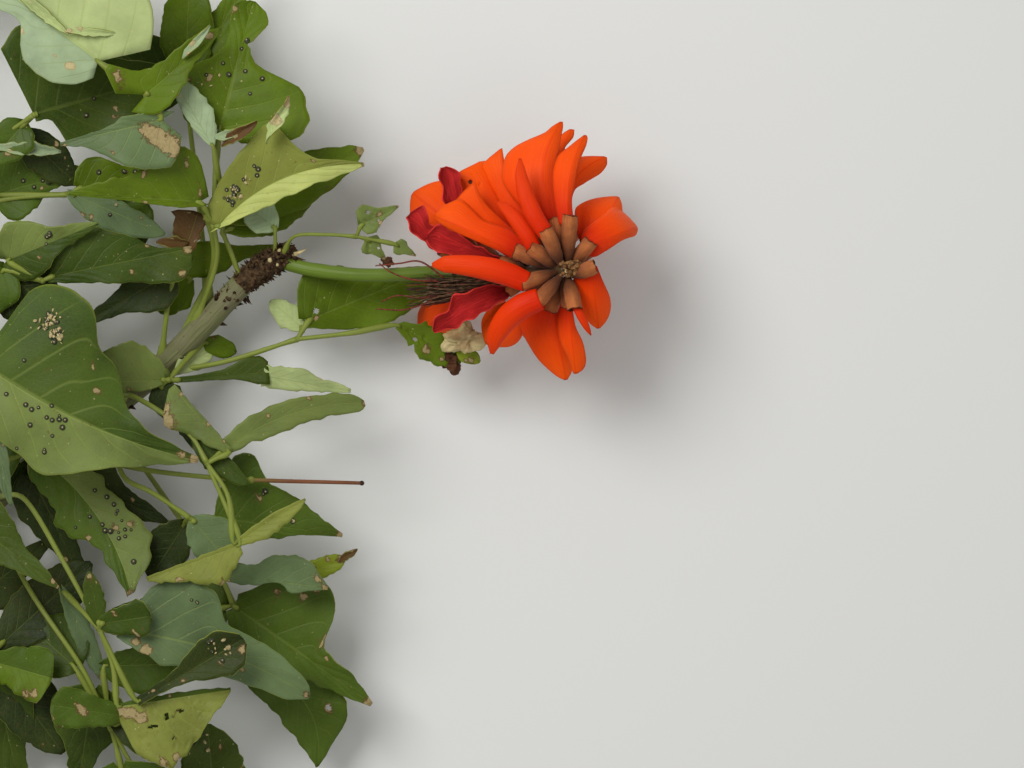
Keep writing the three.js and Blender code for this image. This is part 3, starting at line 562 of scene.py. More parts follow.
def calyx_finish():
    """Velvety brown calyx with darker blotches and faint ribs, darker towards its foot: partly its own darker base,
    partly painted shade where the calyces crowd at the axis.
    """
    tones = bpy.context.scene.coral_flower

    def build(tree):
        cloud = tree.effect("Mottle", Scale=150.0, Softness=0.22)
        ribs = tree.effect("Streaks", Across=18.0, Along=1.4)
        tone = tree.blend(cloud, mixed(tones.calyx, 0.5, tones.calyx_dark, 0.5), tones.calyx)
        tone = tree.blend(ribs, tone, tones.calyx_dark, 0.35)
        # Darker towards the foot: partly the calyx's own darker base, partly painted shade where the calyces crowd
        # together.
        foot = tree.steps(tree.own_map()[1], 0.1, 0.9, 0.95, 0.0)
        tone = tree.blend(foot, tone, mixed(tones.calyx_dark, 0.5))
        relief = tree.relief(tree.noise(tree.place(), 900.0), 0.2)
        return surface(tone, 0.7, 0.2, Normal=relief, **{"Sheen Weight": 0.06})

    return finish("Calyx", build)


def calyx_rim():
    """Dark rim and inside of a calyx: a dry rim, and painted shade inside its mouth."""
    return speckled_finish("Calyx rim", bpy.context.scene.coral_flower.calyx_dark, 0.6, 800.0)


def wood_finishes():
    tones = bpy.context.scene.coral_branch
    blush, brown = paint(150, 140, 70), paint(138, 84, 50)
    return {
        "bark": bark_finish(),
        "rough": speckled_finish("Rough bark", tones.rough, 0.3, 420.0, 0.85, 0.8),
        "bud": speckled_finish("Bud", paint(156, 112, 66), paint(78, 48, 26), 420.0),
        "stub": speckled_finish("Stub", tones.stub, 0.4, 500.0),
        "cut": speckled_finish("Cut wood", paint(206, 190, 140), paint(168, 150, 100), 350.0),
        "stem": stem_finish("Green stem", tones.stem, mixed(tones.stem, 1.25)),
        "axis": stem_finish("Flower axis", tones.stem, paint(84, 56, 38), paint(88, 66, 38), (0.04, 0.3)),
        "petiole": stem_finish("Leaf stalk", tones.petiole, blush),
        "bare": stem_finish("Bare leaf stalk", tones.petiole, blush, brown),
    }


# Shapes


def unique(items):
    """The items in order, each once."""
    return list(dict.fromkeys(items))


def only(items, kind):
    return [item for item in items if isinstance(item, kind)]


def hermite(start, end, rise, fall, t):
    """Cubic from start to end, with its slopes at both."""
    return start + rise * t + (3 * (end - start) - 2 * rise - fall) * t**2 + (2 * (start - end) + rise + fall) * t**3


def smooth_path(points, count):
    """count + 1 evenly spaced places on the curve that the solids' stems follow."""
    knots = [Vector(point) for point in points]
    knots = [2 * knots[0] - knots[1], *knots, 2 * knots[-1] - knots[-2]]
    fine = []
    for p0, p1, p2, p3 in zip(knots, knots[1:], knots[2:], knots[3:]):
        d0, d1, d2 = [max((b - a).length, 0.01) ** 0.5 for a, b in ((p0, p1), (p1, p2), (p2, p3))]
        m1 = ((p1 - p0) / d0 - (p2 - p0) / (d0 + d1) + (p2 - p1) / d1) * d1
        m2 = ((p2 - p1) / d1 - (p3 - p1) / (d1 + d2) + (p3 - p2) / d2) * d1
        fine += [hermite(p1, p2, m1, m2, step / FINE_STEPS) for step in range(FINE_STEPS)]
    fine.append(knots[-2])
    run = [0.0]
    for a, b in zip(fine, fine[1:]):
        run.append(run[-1] + (b - a).length)
    places = []
    index = 0
    for number in range(count + 1):
        wanted = run[-1] * number / count
        while index < len(fine) - 2 and run[index + 1] < wanted:
            index += 1
        share = (wanted - run[index]) / max(run[index + 1] - run[index], 1e-6)
        places.append(fine[index].lerp(fine[index + 1], min(share, 1.0)))
    return places


def path_frames(places):
    """(tangent, side, up) at each place of a path, turning as little as possible."""
    frames = []
    side = None
    for index in range(len(places)):
        after = places[min(index + 1, len(places) - 1)]
        before = places[max(index - 1, 0)]
        tangent = (after - before).normalized()
        if side is None:
            side = UP.cross(tangent)
            side = side.normalized() if side.length > 0.05 else Vector((1, 0, 0))
        side = (side - tangent * side.dot(tangent)).normalized()
        frames.append((tangent, side, tangent.cross(side)))
    return frames


def along(pairs, share):
    """Smooth value at a share of a list of (share, value) pairs."""
    index = 1
    while index < len(pairs) - 1 and pairs[index][0] < share:
        index += 1
    (u1, w1), (u2, w2) = pairs[index - 1], pairs[index]
    u0, w0 = pairs[max(index - 2, 0)]
    u3, w3 = pairs[min(index + 1, len(pairs) - 1)]
    span = u2 - u1
    rise, fall = (w2 - w0) / (u2 - u0) * span, (w3 - w1) / (u3 - u1) * span
    return max(hermite(w1, w2, rise, fall, (share - u1) / span), 0.0)


def linear(values, share):
    """Value at a share of evenly spaced values."""
    place = min(max(share, 0.0), 1.0) * (len(values) - 1)
    index = min(int(place), len(values) - 2)
    return values[index] + (values[index + 1] - values[index]) * (place - index)


class Piece:
    """A mesh in the making, in millimetres, with the finishes that it uses."""

    def __init__(self):
        self.mesh = bmesh.new()
        self.map = self.mesh.loops.layers.uv.new("map")
        self.dry = self.mesh.verts.layers.float.new("dry")
        self.finishes = []

    def number(self, material):
        """Index of a finish on this piece."""
        if material not in self.finishes:
            self.finishes.append(material)
        return self.finishes.index(material)

    def sheet(self, columns, rows):
        """Flat grid from -1 to 1 both ways, whose own map is its place in it."""
        verts = bmesh.ops.create_grid(self.mesh, x_segments=columns, y_segments=rows, size=1)["verts"]
        faces = unique(face for vert in verts for face in vert.link_faces)
        for face in faces:
            face.smooth = True
            for loop in face.loops:
                loop[self.map].uv = ((loop.vert.co.x + 1) / 2, (loop.vert.co.y + 1) / 2)
        return verts, faces

    def coat(self, verts, material):
        """Gives a finish to the smooth faces at some points."""
        for face in unique(face for vert in verts for face in vert.link_faces):
            face.material_index = self.number(material)
            face.smooth = True

    def close(self, edges, material, smooth=True):
        """Fills open ends."""
        caps = bmesh.ops.holes_fill(self.mesh, edges=edges, sides=0)["faces"]
        for face in caps:
            face.material_index = self.number(material)
            face.smooth = smooth
        return caps

    def on_left(self, face):
        """True for a face on the left half of a blade."""
        return sum(loop[self.map].uv.x for loop in face.loops) / len(face.loops) < 0.5

    def tube(self, path, radii, material, sides=10, step=3.0, relief=None, closed=True, end=None):
        """Round stem along a path. relief(place, turn, share) adds to the radius."""
        rough_length = sum((Vector(b) - Vector(a)).length for a, b in zip(path, path[1:]))
        rings = max(4, round(rough_length / step))
        places = smooth_path(path, rings)
        frames = path_frames(places)
        verts, faces = self.sheet(sides, rings)
        for vert in verts:
            turn = (vert.co.x + 1) * math.pi
            ring = round((vert.co.y + 1) / 2 * rings)
            share = ring / rings
            _, side, up = frames[ring]
            out = side * math.cos(turn) + up * math.sin(turn)
            radius = linear(radii, share)
            if relief:
                radius += relief(places[ring] + out * radius, turn, share)
            vert.co = places[ring] + out * radius
        bmesh.ops.remove_doubles(self.mesh, verts=verts, dist=1e-4)
        faces = [face for face in faces if face.is_valid]
        for face in faces:
            face.material_index = self.number(material)
        if closed:
            edges = unique(edge for face in faces for edge in face.edges if edge.is_boundary)
            faces += self.close(edges, end or material, smooth=False)
        bmesh.ops.recalc_face_normals(self.mesh, faces=faces)
        return faces

    def lump(self, centre, radius, material, flat=1.0, axis=UP, detail=1):
        """Small rounded lump, flattened along an axis."""
        turn = UP.rotation_difference(axis).to_matrix().to_4x4()
        shape = Matrix.Diagonal((radius, radius, radius * flat, 1))
        verts = bmesh.ops.create_icosphere(
            self.mesh, subdivisions=detail, radius=1, matrix=Matrix.Translation(centre) @ turn @ shape)["verts"]
        self.coat(verts, material)
        return verts

    def thorn(self, foot, tip, radius, material, sides=8):
        """Pointed cone from its foot to its tip."""
        foot, tip = Vector(foot), Vector(tip)
        turn = UP.rotation_difference(tip - foot).to_matrix().to_4x4()
        verts = bmesh.ops.create_cone(
            self.mesh, cap_ends=True, segments=sides, radius1=radius, radius2=radius * 0.06,
            depth=(tip - foot).length, matrix=Matrix.Translation((foot + tip) / 2) @ turn)["verts"]
        self.coat(verts, material)

    def finish(self, name, nodes, slot):
        """Brings the piece into the frame, to stand for some nodes."""
        mesh = bpy.data.meshes.new(name)
        self.mesh.to_mesh(mesh)
        self.mesh.free()
        mesh.transform(TO_FRAME)
        for material in self.finishes:
            mesh.materials.append(material)
        piece = bpy.data.objects.new(name, mesh)
        bpy.context.scene.collection.objects.link(piece)
        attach(piece, "root")
        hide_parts(*nodes)


class Blade:
    """Surface of one thin blade, from u 0 at its base to 1 at its tip and v 1 left to -1 right."""

    def __init__(self, start, end, half, fold=0, sides=LOBED, roll=0, twist=0, arch=0, sweep=0, bites=(),
                 wave=0, waves=2.5, seed=0, quilting=0, laterals=7, curl=0, ragged=0, rough=14, heel=0):
        self.base = Vector(start)
        self.chord = Vector(end) - self.base
        self.size = self.chord.length
        self.ahead = self.chord.normalized()
        self.across = UP.cross(self.ahead).normalized()
        self.half = half
        self.fold, self.roll, self.twist = fold, roll, twist
        self.arch, self.sweep = arch, sweep
        self.outlines = sides if isinstance(sides, tuple) else (sides, sides)
        # An outline is in shares of the half width, or where it passes 1.5 in millimetres
        self.scales = [1 if max(width for _, width in outline) > 1.5 else reach
                       for outline, reach in zip(self.outlines, half)]
        self.bites = bites
        self.wave, self.waves, self.seed = wave, waves, seed
        self.quilting, self.laterals = quilting, laterals
        self.curl, self.ragged, self.rough = curl, ragged, rough
        self.heel = heel if isinstance(heel, tuple) else (heel, heel)
        self.rows = {}

    def width(self, u, side):
        """Half width at u, on side 0 for left and 1 for right."""
        value = self.scales[side] * along(self.outlines[side], u) + BLADE_EDGE
        for where, place, depth, spread in self.bites:
            if where == side:
                value *= 1 - depth * max(0.0, 1 - abs(u - place) / spread) ** 0.6
        if self.ragged:
            value += self.ragged * noise.noise((u * self.rough, self.seed, side * 7.0)) * min(value, 6) / 3
        return max(value, LEAST_WIDTH)

    def row(self, u):
        """Centre, side, normal and the two half widths at u."""
        if u not in self.rows:
            angle = math.radians(self.roll + self.twist * (u - 0.5))
            side = Quaternion(self.ahead, angle) @ self.across
            normal = self.ahead.cross(side)
            bow = 4 * u * (1 - u)
            centre = self.base + self.chord * u + normal * (self.arch * bow) + side * (self.sweep * bow)
            self.rows[u] = (centre, side, normal, self.width(u, 0), self.width(u, 1))
        return self.rows[u]

    def point(self, u, v):
        centre, side, normal, left, right = self.row(u)
        out = abs(v)
        wide = left if v > 0 else right
        angle = math.radians(self.fold) + math.radians(self.curl) * out
        reach = out * wide
        rise = math.sin(angle) * (math.sqrt(reach * reach + FOLD_SOFTNESS) - FOLD_DROP)
        phase = (u - VEIN_SLOPE * out) * self.laterals
        swell = self.quilting * (0.5 - 0.5 * math.cos(2 * math.pi * phase)) * (1 - out**3)
        groove = -GROOVE_DEPTH * self.quilting * math.exp(-(reach / GROOVE_REACH) ** 2)
        turn = 2 * math.pi * self.waves * u + self.seed + (0.0 if v > 0 else 2.1)
        ripple = self.wave * out**1.6 * math.sin(turn) * min(1.0, wide / 8)
        reach_side = math.copysign(reach * math.cos(angle), v)
        back = self.ahead * (self.heel[0 if v > 0 else 1] * self.size * (1 - u) ** 4 * out)
        return centre + side * reach_side + normal * (rise + swell + groove + ripple) - back

    def normal(self, u, v):
        along_it = self.point(min(u + 0.01, 1.0), v) - self.point(max(u - 0.01, 0.0), v)
        across_it = self.point(u, min(v + 0.05, 1.0)) - self.point(u, max(v - 0.05, -1.0))
        return along_it.cross(across_it).normalized()

    def outward(self, u, v):
        """Normal on the side that faces up."""
        out = self.normal(u, v)
        return out if out.z > 0 else -out


def grow_blade(piece, blade, thickness, cell, look, rim, spots=(), holes=()):
    """Closed thin mesh of a blade. look(left, below) gives the finish of a face."""
    rows = max(8, round(blade.size / cell))
    columns = 2 * max(3, round(sum(blade.half) / cell / 2))
    verts, faces = piece.sheet(columns, rows)
    centres = [(blade.point(u, v), reach) for u, v, reach in spots]
    for vert in verts:
        vert.co = blade.point(round((vert.co.y + 1) / 2 * rows) / rows, -vert.co.x)
        for centre, reach in centres:
            near = 1 - (vert.co - centre).length / (1.5 * reach)
            vert[piece.dry] = max(vert[piece.dry], min(1.0, 1.6 * near))
    for face in faces:
        face.material_index = piece.number(look(piece.on_left(face), False))
    for hole in holes:
        faces = pierce(piece, blade, faces, *hole)
    piece.mesh.normal_update()
    kept = set(faces)
    made = bmesh.ops.extrude_face_region(piece.mesh, geom=faces, use_keep_orig=True)["geom"]
    lower = only(made, bmesh.types.BMVert)
    for vert in lower:
        vert.co -= vert.normal * thickness
    lower_set = set(lower)
    shell = unique(face for vert in lower for face in vert.link_faces)
    for face in shell:
        if face in kept:
            continue
        below = all(vert in lower_set for vert in face.verts)
        face.material_index = piece.number(look(piece.on_left(face), True) if below else rim)
        face.smooth = True
    bmesh.ops.recalc_face_normals(piece.mesh, faces=unique([*faces, *shell]))


def pierce(piece, blade, faces, u, v, reach, stretch):
    """Opens a round or long hole in the faces of a blade, and gives the faces that are left."""
    centre = blade.point(u, v)

    def measure(place):
        offset = place - centre
        forward = offset.dot(blade.ahead)
        return (offset - blade.ahead * forward + blade.ahead * (forward / stretch)).length

    close = [face for face in faces if measure(face.calc_center_median()) < reach + 3.0]
    edges = unique(edge for face in close for edge in face.edges)
    made = bmesh.ops.subdivide_edges(piece.mesh, edges=edges, cuts=2, use_grid_fill=True)["geom"]
    faces = unique([*(face for face in faces if face.is_valid), *only(made, bmesh.types.BMFace)])
    for vert in unique(vert for face in faces for vert in face.verts if measure(vert.co) < 1.5 * reach):
        limit = reach * (1 + 0.3 * noise.noise(vert.co * 0.6))
        far = measure(vert.co)
        if 0.7 * limit < far < 1.3 * limit:
            vert.co = centre + (vert.co - centre) * (limit / far)
    gone = [face for face in faces if measure(face.calc_center_median()) < 0.92 * reach]
    gone_set = set(gone)
    kept = [face for face in faces if face not in gone_set]
    bmesh.ops.delete(piece.mesh, geom=gone, context="FACES")
    return kept


# Leaves: the stalk and the leaflets of each, as in the solids. A leaflet has its start, end, half
# widths, finish (or two, left and right), fold and outline. spots are dead patches as (u, v, reach),
# holes add a stretch, galls are (u, v, spread, count) and bites are (side, u, depth, spread) on side
# 0 for left and 1 for right.


def leaflet(start, end, half, look, fold=0, sides=LOBED, spots=(), holes=(), galls=(), via=(), loose=False, **form):
    """One leaflet of the table."""
    half = half if isinstance(half, tuple) else (half, half)
    blade = {"start": start, "end": end, "half": half, "fold": fold, "sides": sides, "ragged": 0.7, "heel": 0.07}
    return {"look": look, "spots": spots, "holes": holes, "galls": galls, "via": via, "loose": loose,
            "blade": {**blade, **form}}


def strip(start, end, half, look, **more):
    """Curled shred of dry tissue, with no stalk."""
    form = {"sides": SLENDER, "fold": 40, "twist": 90, "ragged": 1.4, "loose": True, "heel": 0}
    return leaflet(start, end, half, look, **{**form, **more})


def crumple(centre, reach, shape, look):
    """Crumpled lump of dry tissue, stretched by the shape along X, Y and Z."""
    return {"crumple": (Vector(centre), reach, shape, look)}


LEAVES = [
    ("top", [(91, -169, -23), (106, -131, -12), (104, -112, -3), (93, -88, 9), (75, -49, 32)],
     leaflet((51.5, -32.5, 33), (-20, 22, 18), (20, 48), ("frost", "pale"), 8, (FROSTED, PALE_LOBE), arch=5,
             heel=(0.03, 0.2), via=[(63, -41, 34)], laterals=5, spots=[(0.107, 0.5, 2.2), (0.43, 0.9, 1.6),
             (0.1, -0.4, 1)]),
     strip((10, 2, 30), (37, -19, 38), (3.5, 2.5), "pale", arch=2, twist=30),
     strip((35, -17.5, 38), (61, -19, 37), (2, 2.2), "pale", twist=60, spots=[(0.05, 0, 2.4), (0.3, 0.8, 1.6)]),
     leaflet((75, -49, 33), (112, -16, 30), (23, 11), "bright", 10, (ROLLED_BACK, LOBED), roll=4, heel=0.22,
             spots=[(0.05, 0.7, 2.4), (0.86, 0.3, 2)]),
     strip((93, -31, 34), (107, -15, 36), 2.2, "frost", spots=[(0.4, 0.6, 1.5)]),
     leaflet((82.5, -61, 30), (32.5, -73.5, 32), (24, 5), "blue", 8, PATCHED, arch=3, heel=0.15,
             spots=[(0.167, 0.15, 4), (0.11, 0.34, 4.5), (0.07, 0.6, 4.4), (0.05, 0.85, 3.8)])),
    ("upper_left", [(-33, -84, -10), (0, -69, 6), (18, -58, 12)],
     leaflet((18, -58, 12), (92, -35, 0), (28, 22), "deep", 3, BEHIND, arch=-3, galls=[(0.4, -0.3, 20, 3)],
             heel=(0.08, 0)),
     leaflet((10, -66, 2), (38, -92, -8), 10, "dark", 6, ROUNDED),
     leaflet((12, -63, 9), (-14, -92, 12), (12, 9), "mid", 10, spots=[(0.4, 0.4, 1.8)]),
     strip((31, -76, 6), (-4, -74, 12), (3.5, 4), "frost", twist=20, spots=[(0.7, 0.4, 1.5)])),
    ("front", [(96, -164, -19), (108.5, -128, -2), (107, -112, 8)],
     leaflet((100.5, -101.5, 16), (36.5, -98, 30), (3, 27), "bright", 12, arch=3, spots=[(0.02, -0.5, 2),
             (0.45, -0.75, 1.6), (0.15, -0.7, 1.2)]),
     leaflet((109.5, -113.5, 10), (182.5, -83, 24), (30, 9), ("olive", "sunlit"), 10, (FRONT_TOP, SLENDER), arch=3,
             sweep=9, spots=[(1, 0, 1.6)], galls=[(0.2, 0.42, 8, 24), (0.32, 0.4, 5, 6)]),
     strip((134, -73, 31), (146, -50, 36), (3, 4), "pale", twist=160, spots=[(0.5, 0.5, 3), (0.9, -0.4, 3)]),
     strip((112, -74, 26), (130, -62, 30), (3.5, 3), "umber", twist=70, spots=[(0.4, 0, 1.5)]),
     strip((108, -70, 24), (122, -66, 28), (2, 3), "frost", twist=50),
     leaflet((110.5, -65, 14), (127, -1, 8), (26, 42), "bright", 6, CREST, arch=3, via=[(108, -90, 10)],
             bites=[(1, 0.67, 0.5, 0.02)], galls=[(0.3, 0.5, 9, 6), (0.45, -0.2, 20, 6)], spots=[(0.35, 0.5, 1.6),
             (0.9, 0.9, 1.5)])),
    ("behind", [(120.5, -141, -14), (115, -126, -8), (111, -116, -6)],
     leaflet((113, -108, -6), (181.5, -74, -12), 13, "bright", 8, SLENDER, spots=[(1, 0, 4)]),
     leaflet((115, -114, -6), (157, -95, -20), (9, 11), "bright", 6, ROUNDED),
     leaflet((107.5, -74, 19), (86, -38, 24), (4, 9), "frost", 10, SLENDER, heel=0, via=[(111, -98, 2),
             (109, -84, 14)])),
    ("young", [(141, -129, -7), (147, -118.5, 4), (163, -117.5, 8), (178.5, -118.5, 10)],
     leaflet((181, -113, 12), (199.5, -103.5, 15), (9, 6), "sage", 12, spots=[(0.5, 0.2, 1.4), (1, 0, 1)],
             holes=[(0.3, 0.45, 1.0, 1.3), (0.42, -0.4, 0.8, 1.0)]),
     leaflet((184, -120, 9), (193, -130, 5), (5, 6), "sage", 15, spots=[(1, 0, 2)], holes=[(0.5, 0.4, 0.8, 1.2)]),
     leaflet((198, -122.5, 9), (208, -128, 8), 4, "sage", 10),
     crumple((194, -131, 5), 2.2, (1.2, 1.0, 0.8), "dry")),
    ("crumpled", [(136, -131, -10), (137.5, -122, -2), (137.5, -114, 0)],
     leaflet((137.5, -114, 0), (122, -102, 0), (8, 9), "frost", 18, ROUNDED)),
    ("dry", [(79, -183, -23), (84, -148, -12), (90, -127.5, -6)],
     leaflet((92, -126, -5), (99, -106, -3), (11, 6), "umber", 14, BLUNT, ragged=2),
     strip((94, -121, -3), (78, -121, 0), (4, 3), "umber", twist=60),
     leaflet((94, -140, -20), (78, -156, -26), 8, "bright", 6, ROUNDED),
     leaflet((92, -131, -12), (141, -122, -36), 9, "bright", 6, roll=15),
     leaflet((84, -137, -10), (40, -162, -16), 14, "dark", 6)),
    ("left", [(-35, -140, -18), (5, -133, 0), (21.5, -140.5, 4)],
     leaflet((26, -138.5, 4), (96, -124, 2), (22, 16), "deep", 6, DROOPED, arch=2, heel=0.03, spots=[(0.97, 0, 2.4),
             (0.9, -0.8, 1.8)]),
     leaflet((4, -130, 4), (50, -112, 14), (17, 14), ("sage", "deep"), 8, roll=6, galls=[(0.5, 0, 12, 4)]),
     leaflet((2, -135, 2), (-26, -176, 2), 14, "mid", 8),
     leaflet((6, -138, 0), (44, -172, -6), (16, 18), "dark", 5)),
    ("upper_mid", [(-36, -112, -14), (0, -100, -6), (34, -97, -4)],
     leaflet((36, -97, -3), (82.5, -117, -2), (6, 10), "blue", 6, SLENDER, roll=-6, galls=[(0.4, 0.3, 6, 2)]),
     leaflet((56, -98, -12), (71, -122, -16), (13, 12), "mid", 6, ROUNDED),
     leaflet((40, -94, -4), (84, -84, -10), (14, 12), "bright", 6, galls=[(0.4, 0, 10, 5)]),
     leaflet((-2, -97, -6), (42, -84, -8), (22, 15), "mid", 6, bites=[(0, 0.5, 0.4, 0.08)],
             galls=[(0.4, 0.2, 14, 6)])),
    ("big", [(-31, -186, -25), (-24, -184, 2), (-8, -181, 26)],
     leaflet((-7.5, -181, 27), (100.5, -230, 26), (55, 37), ("veined", "sage"), 4, BIG, arch=6, sweep=-6, laterals=5,
             heel=0.03, galls=[(0.205, 0.66, 6, 40), (0.25, 0.58, 4, 26), (0.4, -0.35, 26, 11), (0.3, 0.1, 24, 6)],
             spots=[(0.5, 0.5, 1.6), (0.44, 0.75, 1.2), (0.98, 0, 2.5), (0.93, 0.3, 2)]),
     leaflet((-8, -186, 24), (8, -252, 30), (12, 18), "blue", 8, galls=[(0.5, 0.2, 10, 4)]),
     leaflet((-12, -178, 22), (-62, -142, 10), 24, "mid", 8)),
    ("mid", [(82, -184, -23), (83, -187, -12), (84, -190, -6)],
     leaflet((82, -190, -6), (42, -192, 2), (5, 20), "sage", 8, ROUNDED, roll=-8),
     leaflet((88, -190, -8), (134, -186, -10), (9, 6), "deep", 8, SWOLLEN, heel=0, ragged=0.5),
     leaflet((131, -188, -10.4), (175, -195.5, -14), (7, 5), "pale", 6, PENNANT, heel=0, loose=True),
     leaflet((101, -171, -24), (117, -176, -28), 5, "bright", 8, ROUNDED),
     leaflet((88, -185, -14), (107, -173, -28), (6, 5), "pale", 8, ROUNDED),
     leaflet((80, -193, -8), (98, -226, -8), (8, 9), "dark", 8, spots=[(1, 0, 3)])),
    ("right", [(80, -186, -25), (111, -181, -12), (148.5, -169.5, -6)],
     leaflet((154.5, -160, -9), (217, -133, -26), (24, 17), "bright", 4, (LOBED, BENEATH), arch=-3,
             holes=[(0.08, 0.15, 1.6, 1.0)], spots=[(0.05, -0.1, 1.5)]),
     leaflet((198.5, -162.5, -6), (231, -180, -16), (7, 9), "bright", 10, (ROUNDED, TATTERED),
             via=[(175, -166.5, -4)], heel=0, ragged=1.6, spots=[(0.5, -0.4, 2.2), (0.8, 0.2, 1.5)],
             holes=[(0.3, -0.4, 1.1, 1.2)]),
     leaflet((228, -174, -12), (240, -181, -15), 4, "fresh", 10, ROUNDED, heel=0, loose=True,
             spots=[(0.7, -0.5, 1.5)]),
     crumple((231.5, -169.5, -9), 6.4, (1.6, 1.05, 0.8), "cream"),
     crumple((225.5, -180, -15), 4.6, (0.95, 1.2, 0.8), "dry"),
     leaflet((151, -164, -10), (134, -150, -24), 6, "pale", 10, ROUNDED)),
    ("centre", [(58, -200, -27), (66, -198, 0), (84, -208, 10), (96.5, -218, 14), (104.5, -231.5, 18)],
     leaflet((115.5, -226, 17), (87, -193, 13), (15, 2), "sage", 6, (DRAPED, FOLD_LINE), heel=0,
             via=[(109, -229, 18)], spots=[(0.72, 0.9, 4.4), (0.86, 0.85, 2.6)]),
     leaflet((97, -219.5, 12), (125, -242, 15), (4, 7), "deep", 10, SLENDER, heel=0, loose=True),
     leaflet((84, -206, 8), (104, -214, 8), (4, 5), "dark", 10, SLENDER, heel=0, loose=True),
     leaflet((113.5, -224.5, 14), (182.5, -201.5, 6), 8, "sage", 8, WILLOW, sweep=6.5, spots=[(1, 0, 1.6)],
             bites=[(1, 0.2, 0.35, 0.05)]),
     leaflet((118, -271.5, 22), (153.5, -249, 27), (2.5, 6), "olive", 14, SLENDER, heel=0, via=[(115, -247.5, 21)]),
     leaflet((121, -272, 22), (75, -289, 24), (14, 2), "olive", 10, (FOLDED_LOW, FOLD_LINE), heel=0, ragged=1.4,
             spots=[(0.3, 0.95, 1.6), (0.7, 0.8, 1.4)])),
    ("lower_mid", [(46, -209, -30), (56, -222, -6), (63, -239, 7), (76.5, -246, 9), (95.5, -259, 8)],
     leaflet((97, -260, 8), (116, -283, 6), (13, 10), "blue", 6, ROUNDED),
     leaflet((107, -259, 0), (171, -268, -8), (34, 7), "mid", 3, SPREAD, spots=[(1, 0, 3), (0.32, 0.5, 1.6)], heel=0,
             galls=[(0.6, 0.3, 4, 3), (0.3, 0.5, 12, 3)]),
     leaflet((107, -287, 2), (164, -294, 2), (14, 5), "blue", 6, NOTCHED, via=[(99, -272, 4)], heel=0,
             spots=[(0.9, 0.5, 1.8), (0.98, 0, 1.6)]),
     leaflet((92, -262, -8), (74, -290, -14), (10, 12), "dark", 6, ROUNDED)),
    ("lower", [(-4, -247, -37), (0, -248, -12), (12, -249, 4), (32, -279.5, 12), (51, -314, 18)],
     leaflet((60, -315.5, 17), (155, -348, 8), (30, 12), "blue", 6, WAXY, arch=3, sweep=7, laterals=5,
             spots=[(0.98, 0, 1.6), (0.16, -0.8, 3), (0.1, -0.5, 2)], heel=0, galls=[(0.3, 0.75, 5, 3)]),
     leaflet((52, -311, 20), (77, -307, 25), 9, "deep", 10, BLUNT, roll=10),
     leaflet((51, -311, 20), (46, -285, 24), 5, "deep", 12, SLENDER, spots=[(0.9, 0, 1.5)]),
     leaflet((60, -352.5, 16), (116, -344, 14), (7, 33), ("mid", "olive"), 6, (line(0, 1, 30, 2, 70, 2, 100, 0.5),
             TORN_LOW), via=[(58, -334, 16)], heel=0, ragged=1.4, holes=[(0.28, -0.39, 0.75, 4),
             (0.415, -0.57, 0.7, 4.5), (0.53, -0.23, 0.65, 4), (0.44, -0.28, 0.6, 4), (0.6, -0.6, 0.6, 4)],
             spots=[(0.03, -0.2, 2.6), (0.1, -0.16, 3), (0.19, -0.26, 2.8), (0.33, -0.95, 2.4), (0.45, -0.95, 2)]),
     leaflet((70, -350, 18), (123, -318, 30), 10, "dark", 24, PADDLE, twist=40, galls=[(0.8, 0, 7, 12)], heel=0,
             spots=[(0.95, -0.5, 2)]),
     leaflet((31, -296, -6), (52, -342, -10), 5, "blue", 14, SLENDER, twist=40)),
    ("low", [(-10, -254, -37), (14, -296, -14), (42, -336.5, -4), (55, -365, -8)],
     leaflet((52, -333, -4), (97, -332, -4), (9, 14), "mid", 6, ROUNDED),
     leaflet((58, -362, -4), (102, -366, -2), (13, 16), "dark", 4, ROUNDED),
     leaflet((60, -386, -12), (74, -452, -50), 26, "mid", 6, via=[(58, -376, -10)]),
     leaflet((62, -358, 2), (26, -352, 8), 10, "mid", 6, BLUNT, spots=[(0.55, 0.1, 2.2), (0.62, -0.15, 1.8)]),
     leaflet((36, -333, -8), (-6, -298, -28), (12, 20), "deep", 5),
     leaflet((46, -346, -9), (36, -402, -22), 20, "deep", 5),
     leaflet((106, -402, -24), (103, -363, -18), (15, 16), "deep", 6, ROUNDED, via=[(72, -392, -16), (96, -404, -24)],
             galls=[(0.7, 0.3, 6, 4)])),
    ("bottom_left", [(-24, -265, -39), (-12, -300, -16), (-6, -328, -8)],
     leaflet((-4, -331, -6), (26, -339, 2), 14, ("mid", "bright"), 6, BLUNT, spots=[(0.8, -0.7, 2),
             (0.65, -0.85, 1.6)]),
     leaflet((-2, -334, -12), (30, -378, -22), (16, 14), "dark", 4, ROUNDED),
     leaflet((0, -322, -14), (44, -282, -24), 14, "dark", 4, ROUNDED),
     leaflet((-10, -330, -8), (-66, -352, -24), 24, "mid", 8),
     leaflet((-5, -335, -9), (10, -408, -40), (18, 24), "deep", 6),
     leaflet((-12, -298, -22), (26, -268, -36), 14, "dark", 6)),
    ("galled", [(18, -231, -33), (15, -228, -18), (14, -226, -10)],
     leaflet((16.5, -227.5, -10), (65.5, -297, 0), 18, ("sage", "mid"), 4, GALLED, arch=-2, sweep=8, ragged=1.6,
             heel=0, galls=[(0.5, 0.3, 16, 9), (0.7, 0.2, 12, 8)], spots=[(0.62, 0.3, 1.5), (0.66, 0.7, 1.8),
             (1, 0, 2)]),
     leaflet((-16, -258, 18), (31, -293, 24), 16, "deep", 6, via=[(-6, -236, 8)], spots=[(1, 0, 1.4)]),
     leaflet((6, -223, -10), (-70, -222, -30), 24, "mid", 8, roll=6),
     leaflet((30, -237, -16), (84, -262, -16), (17, 18), "dark", 4),
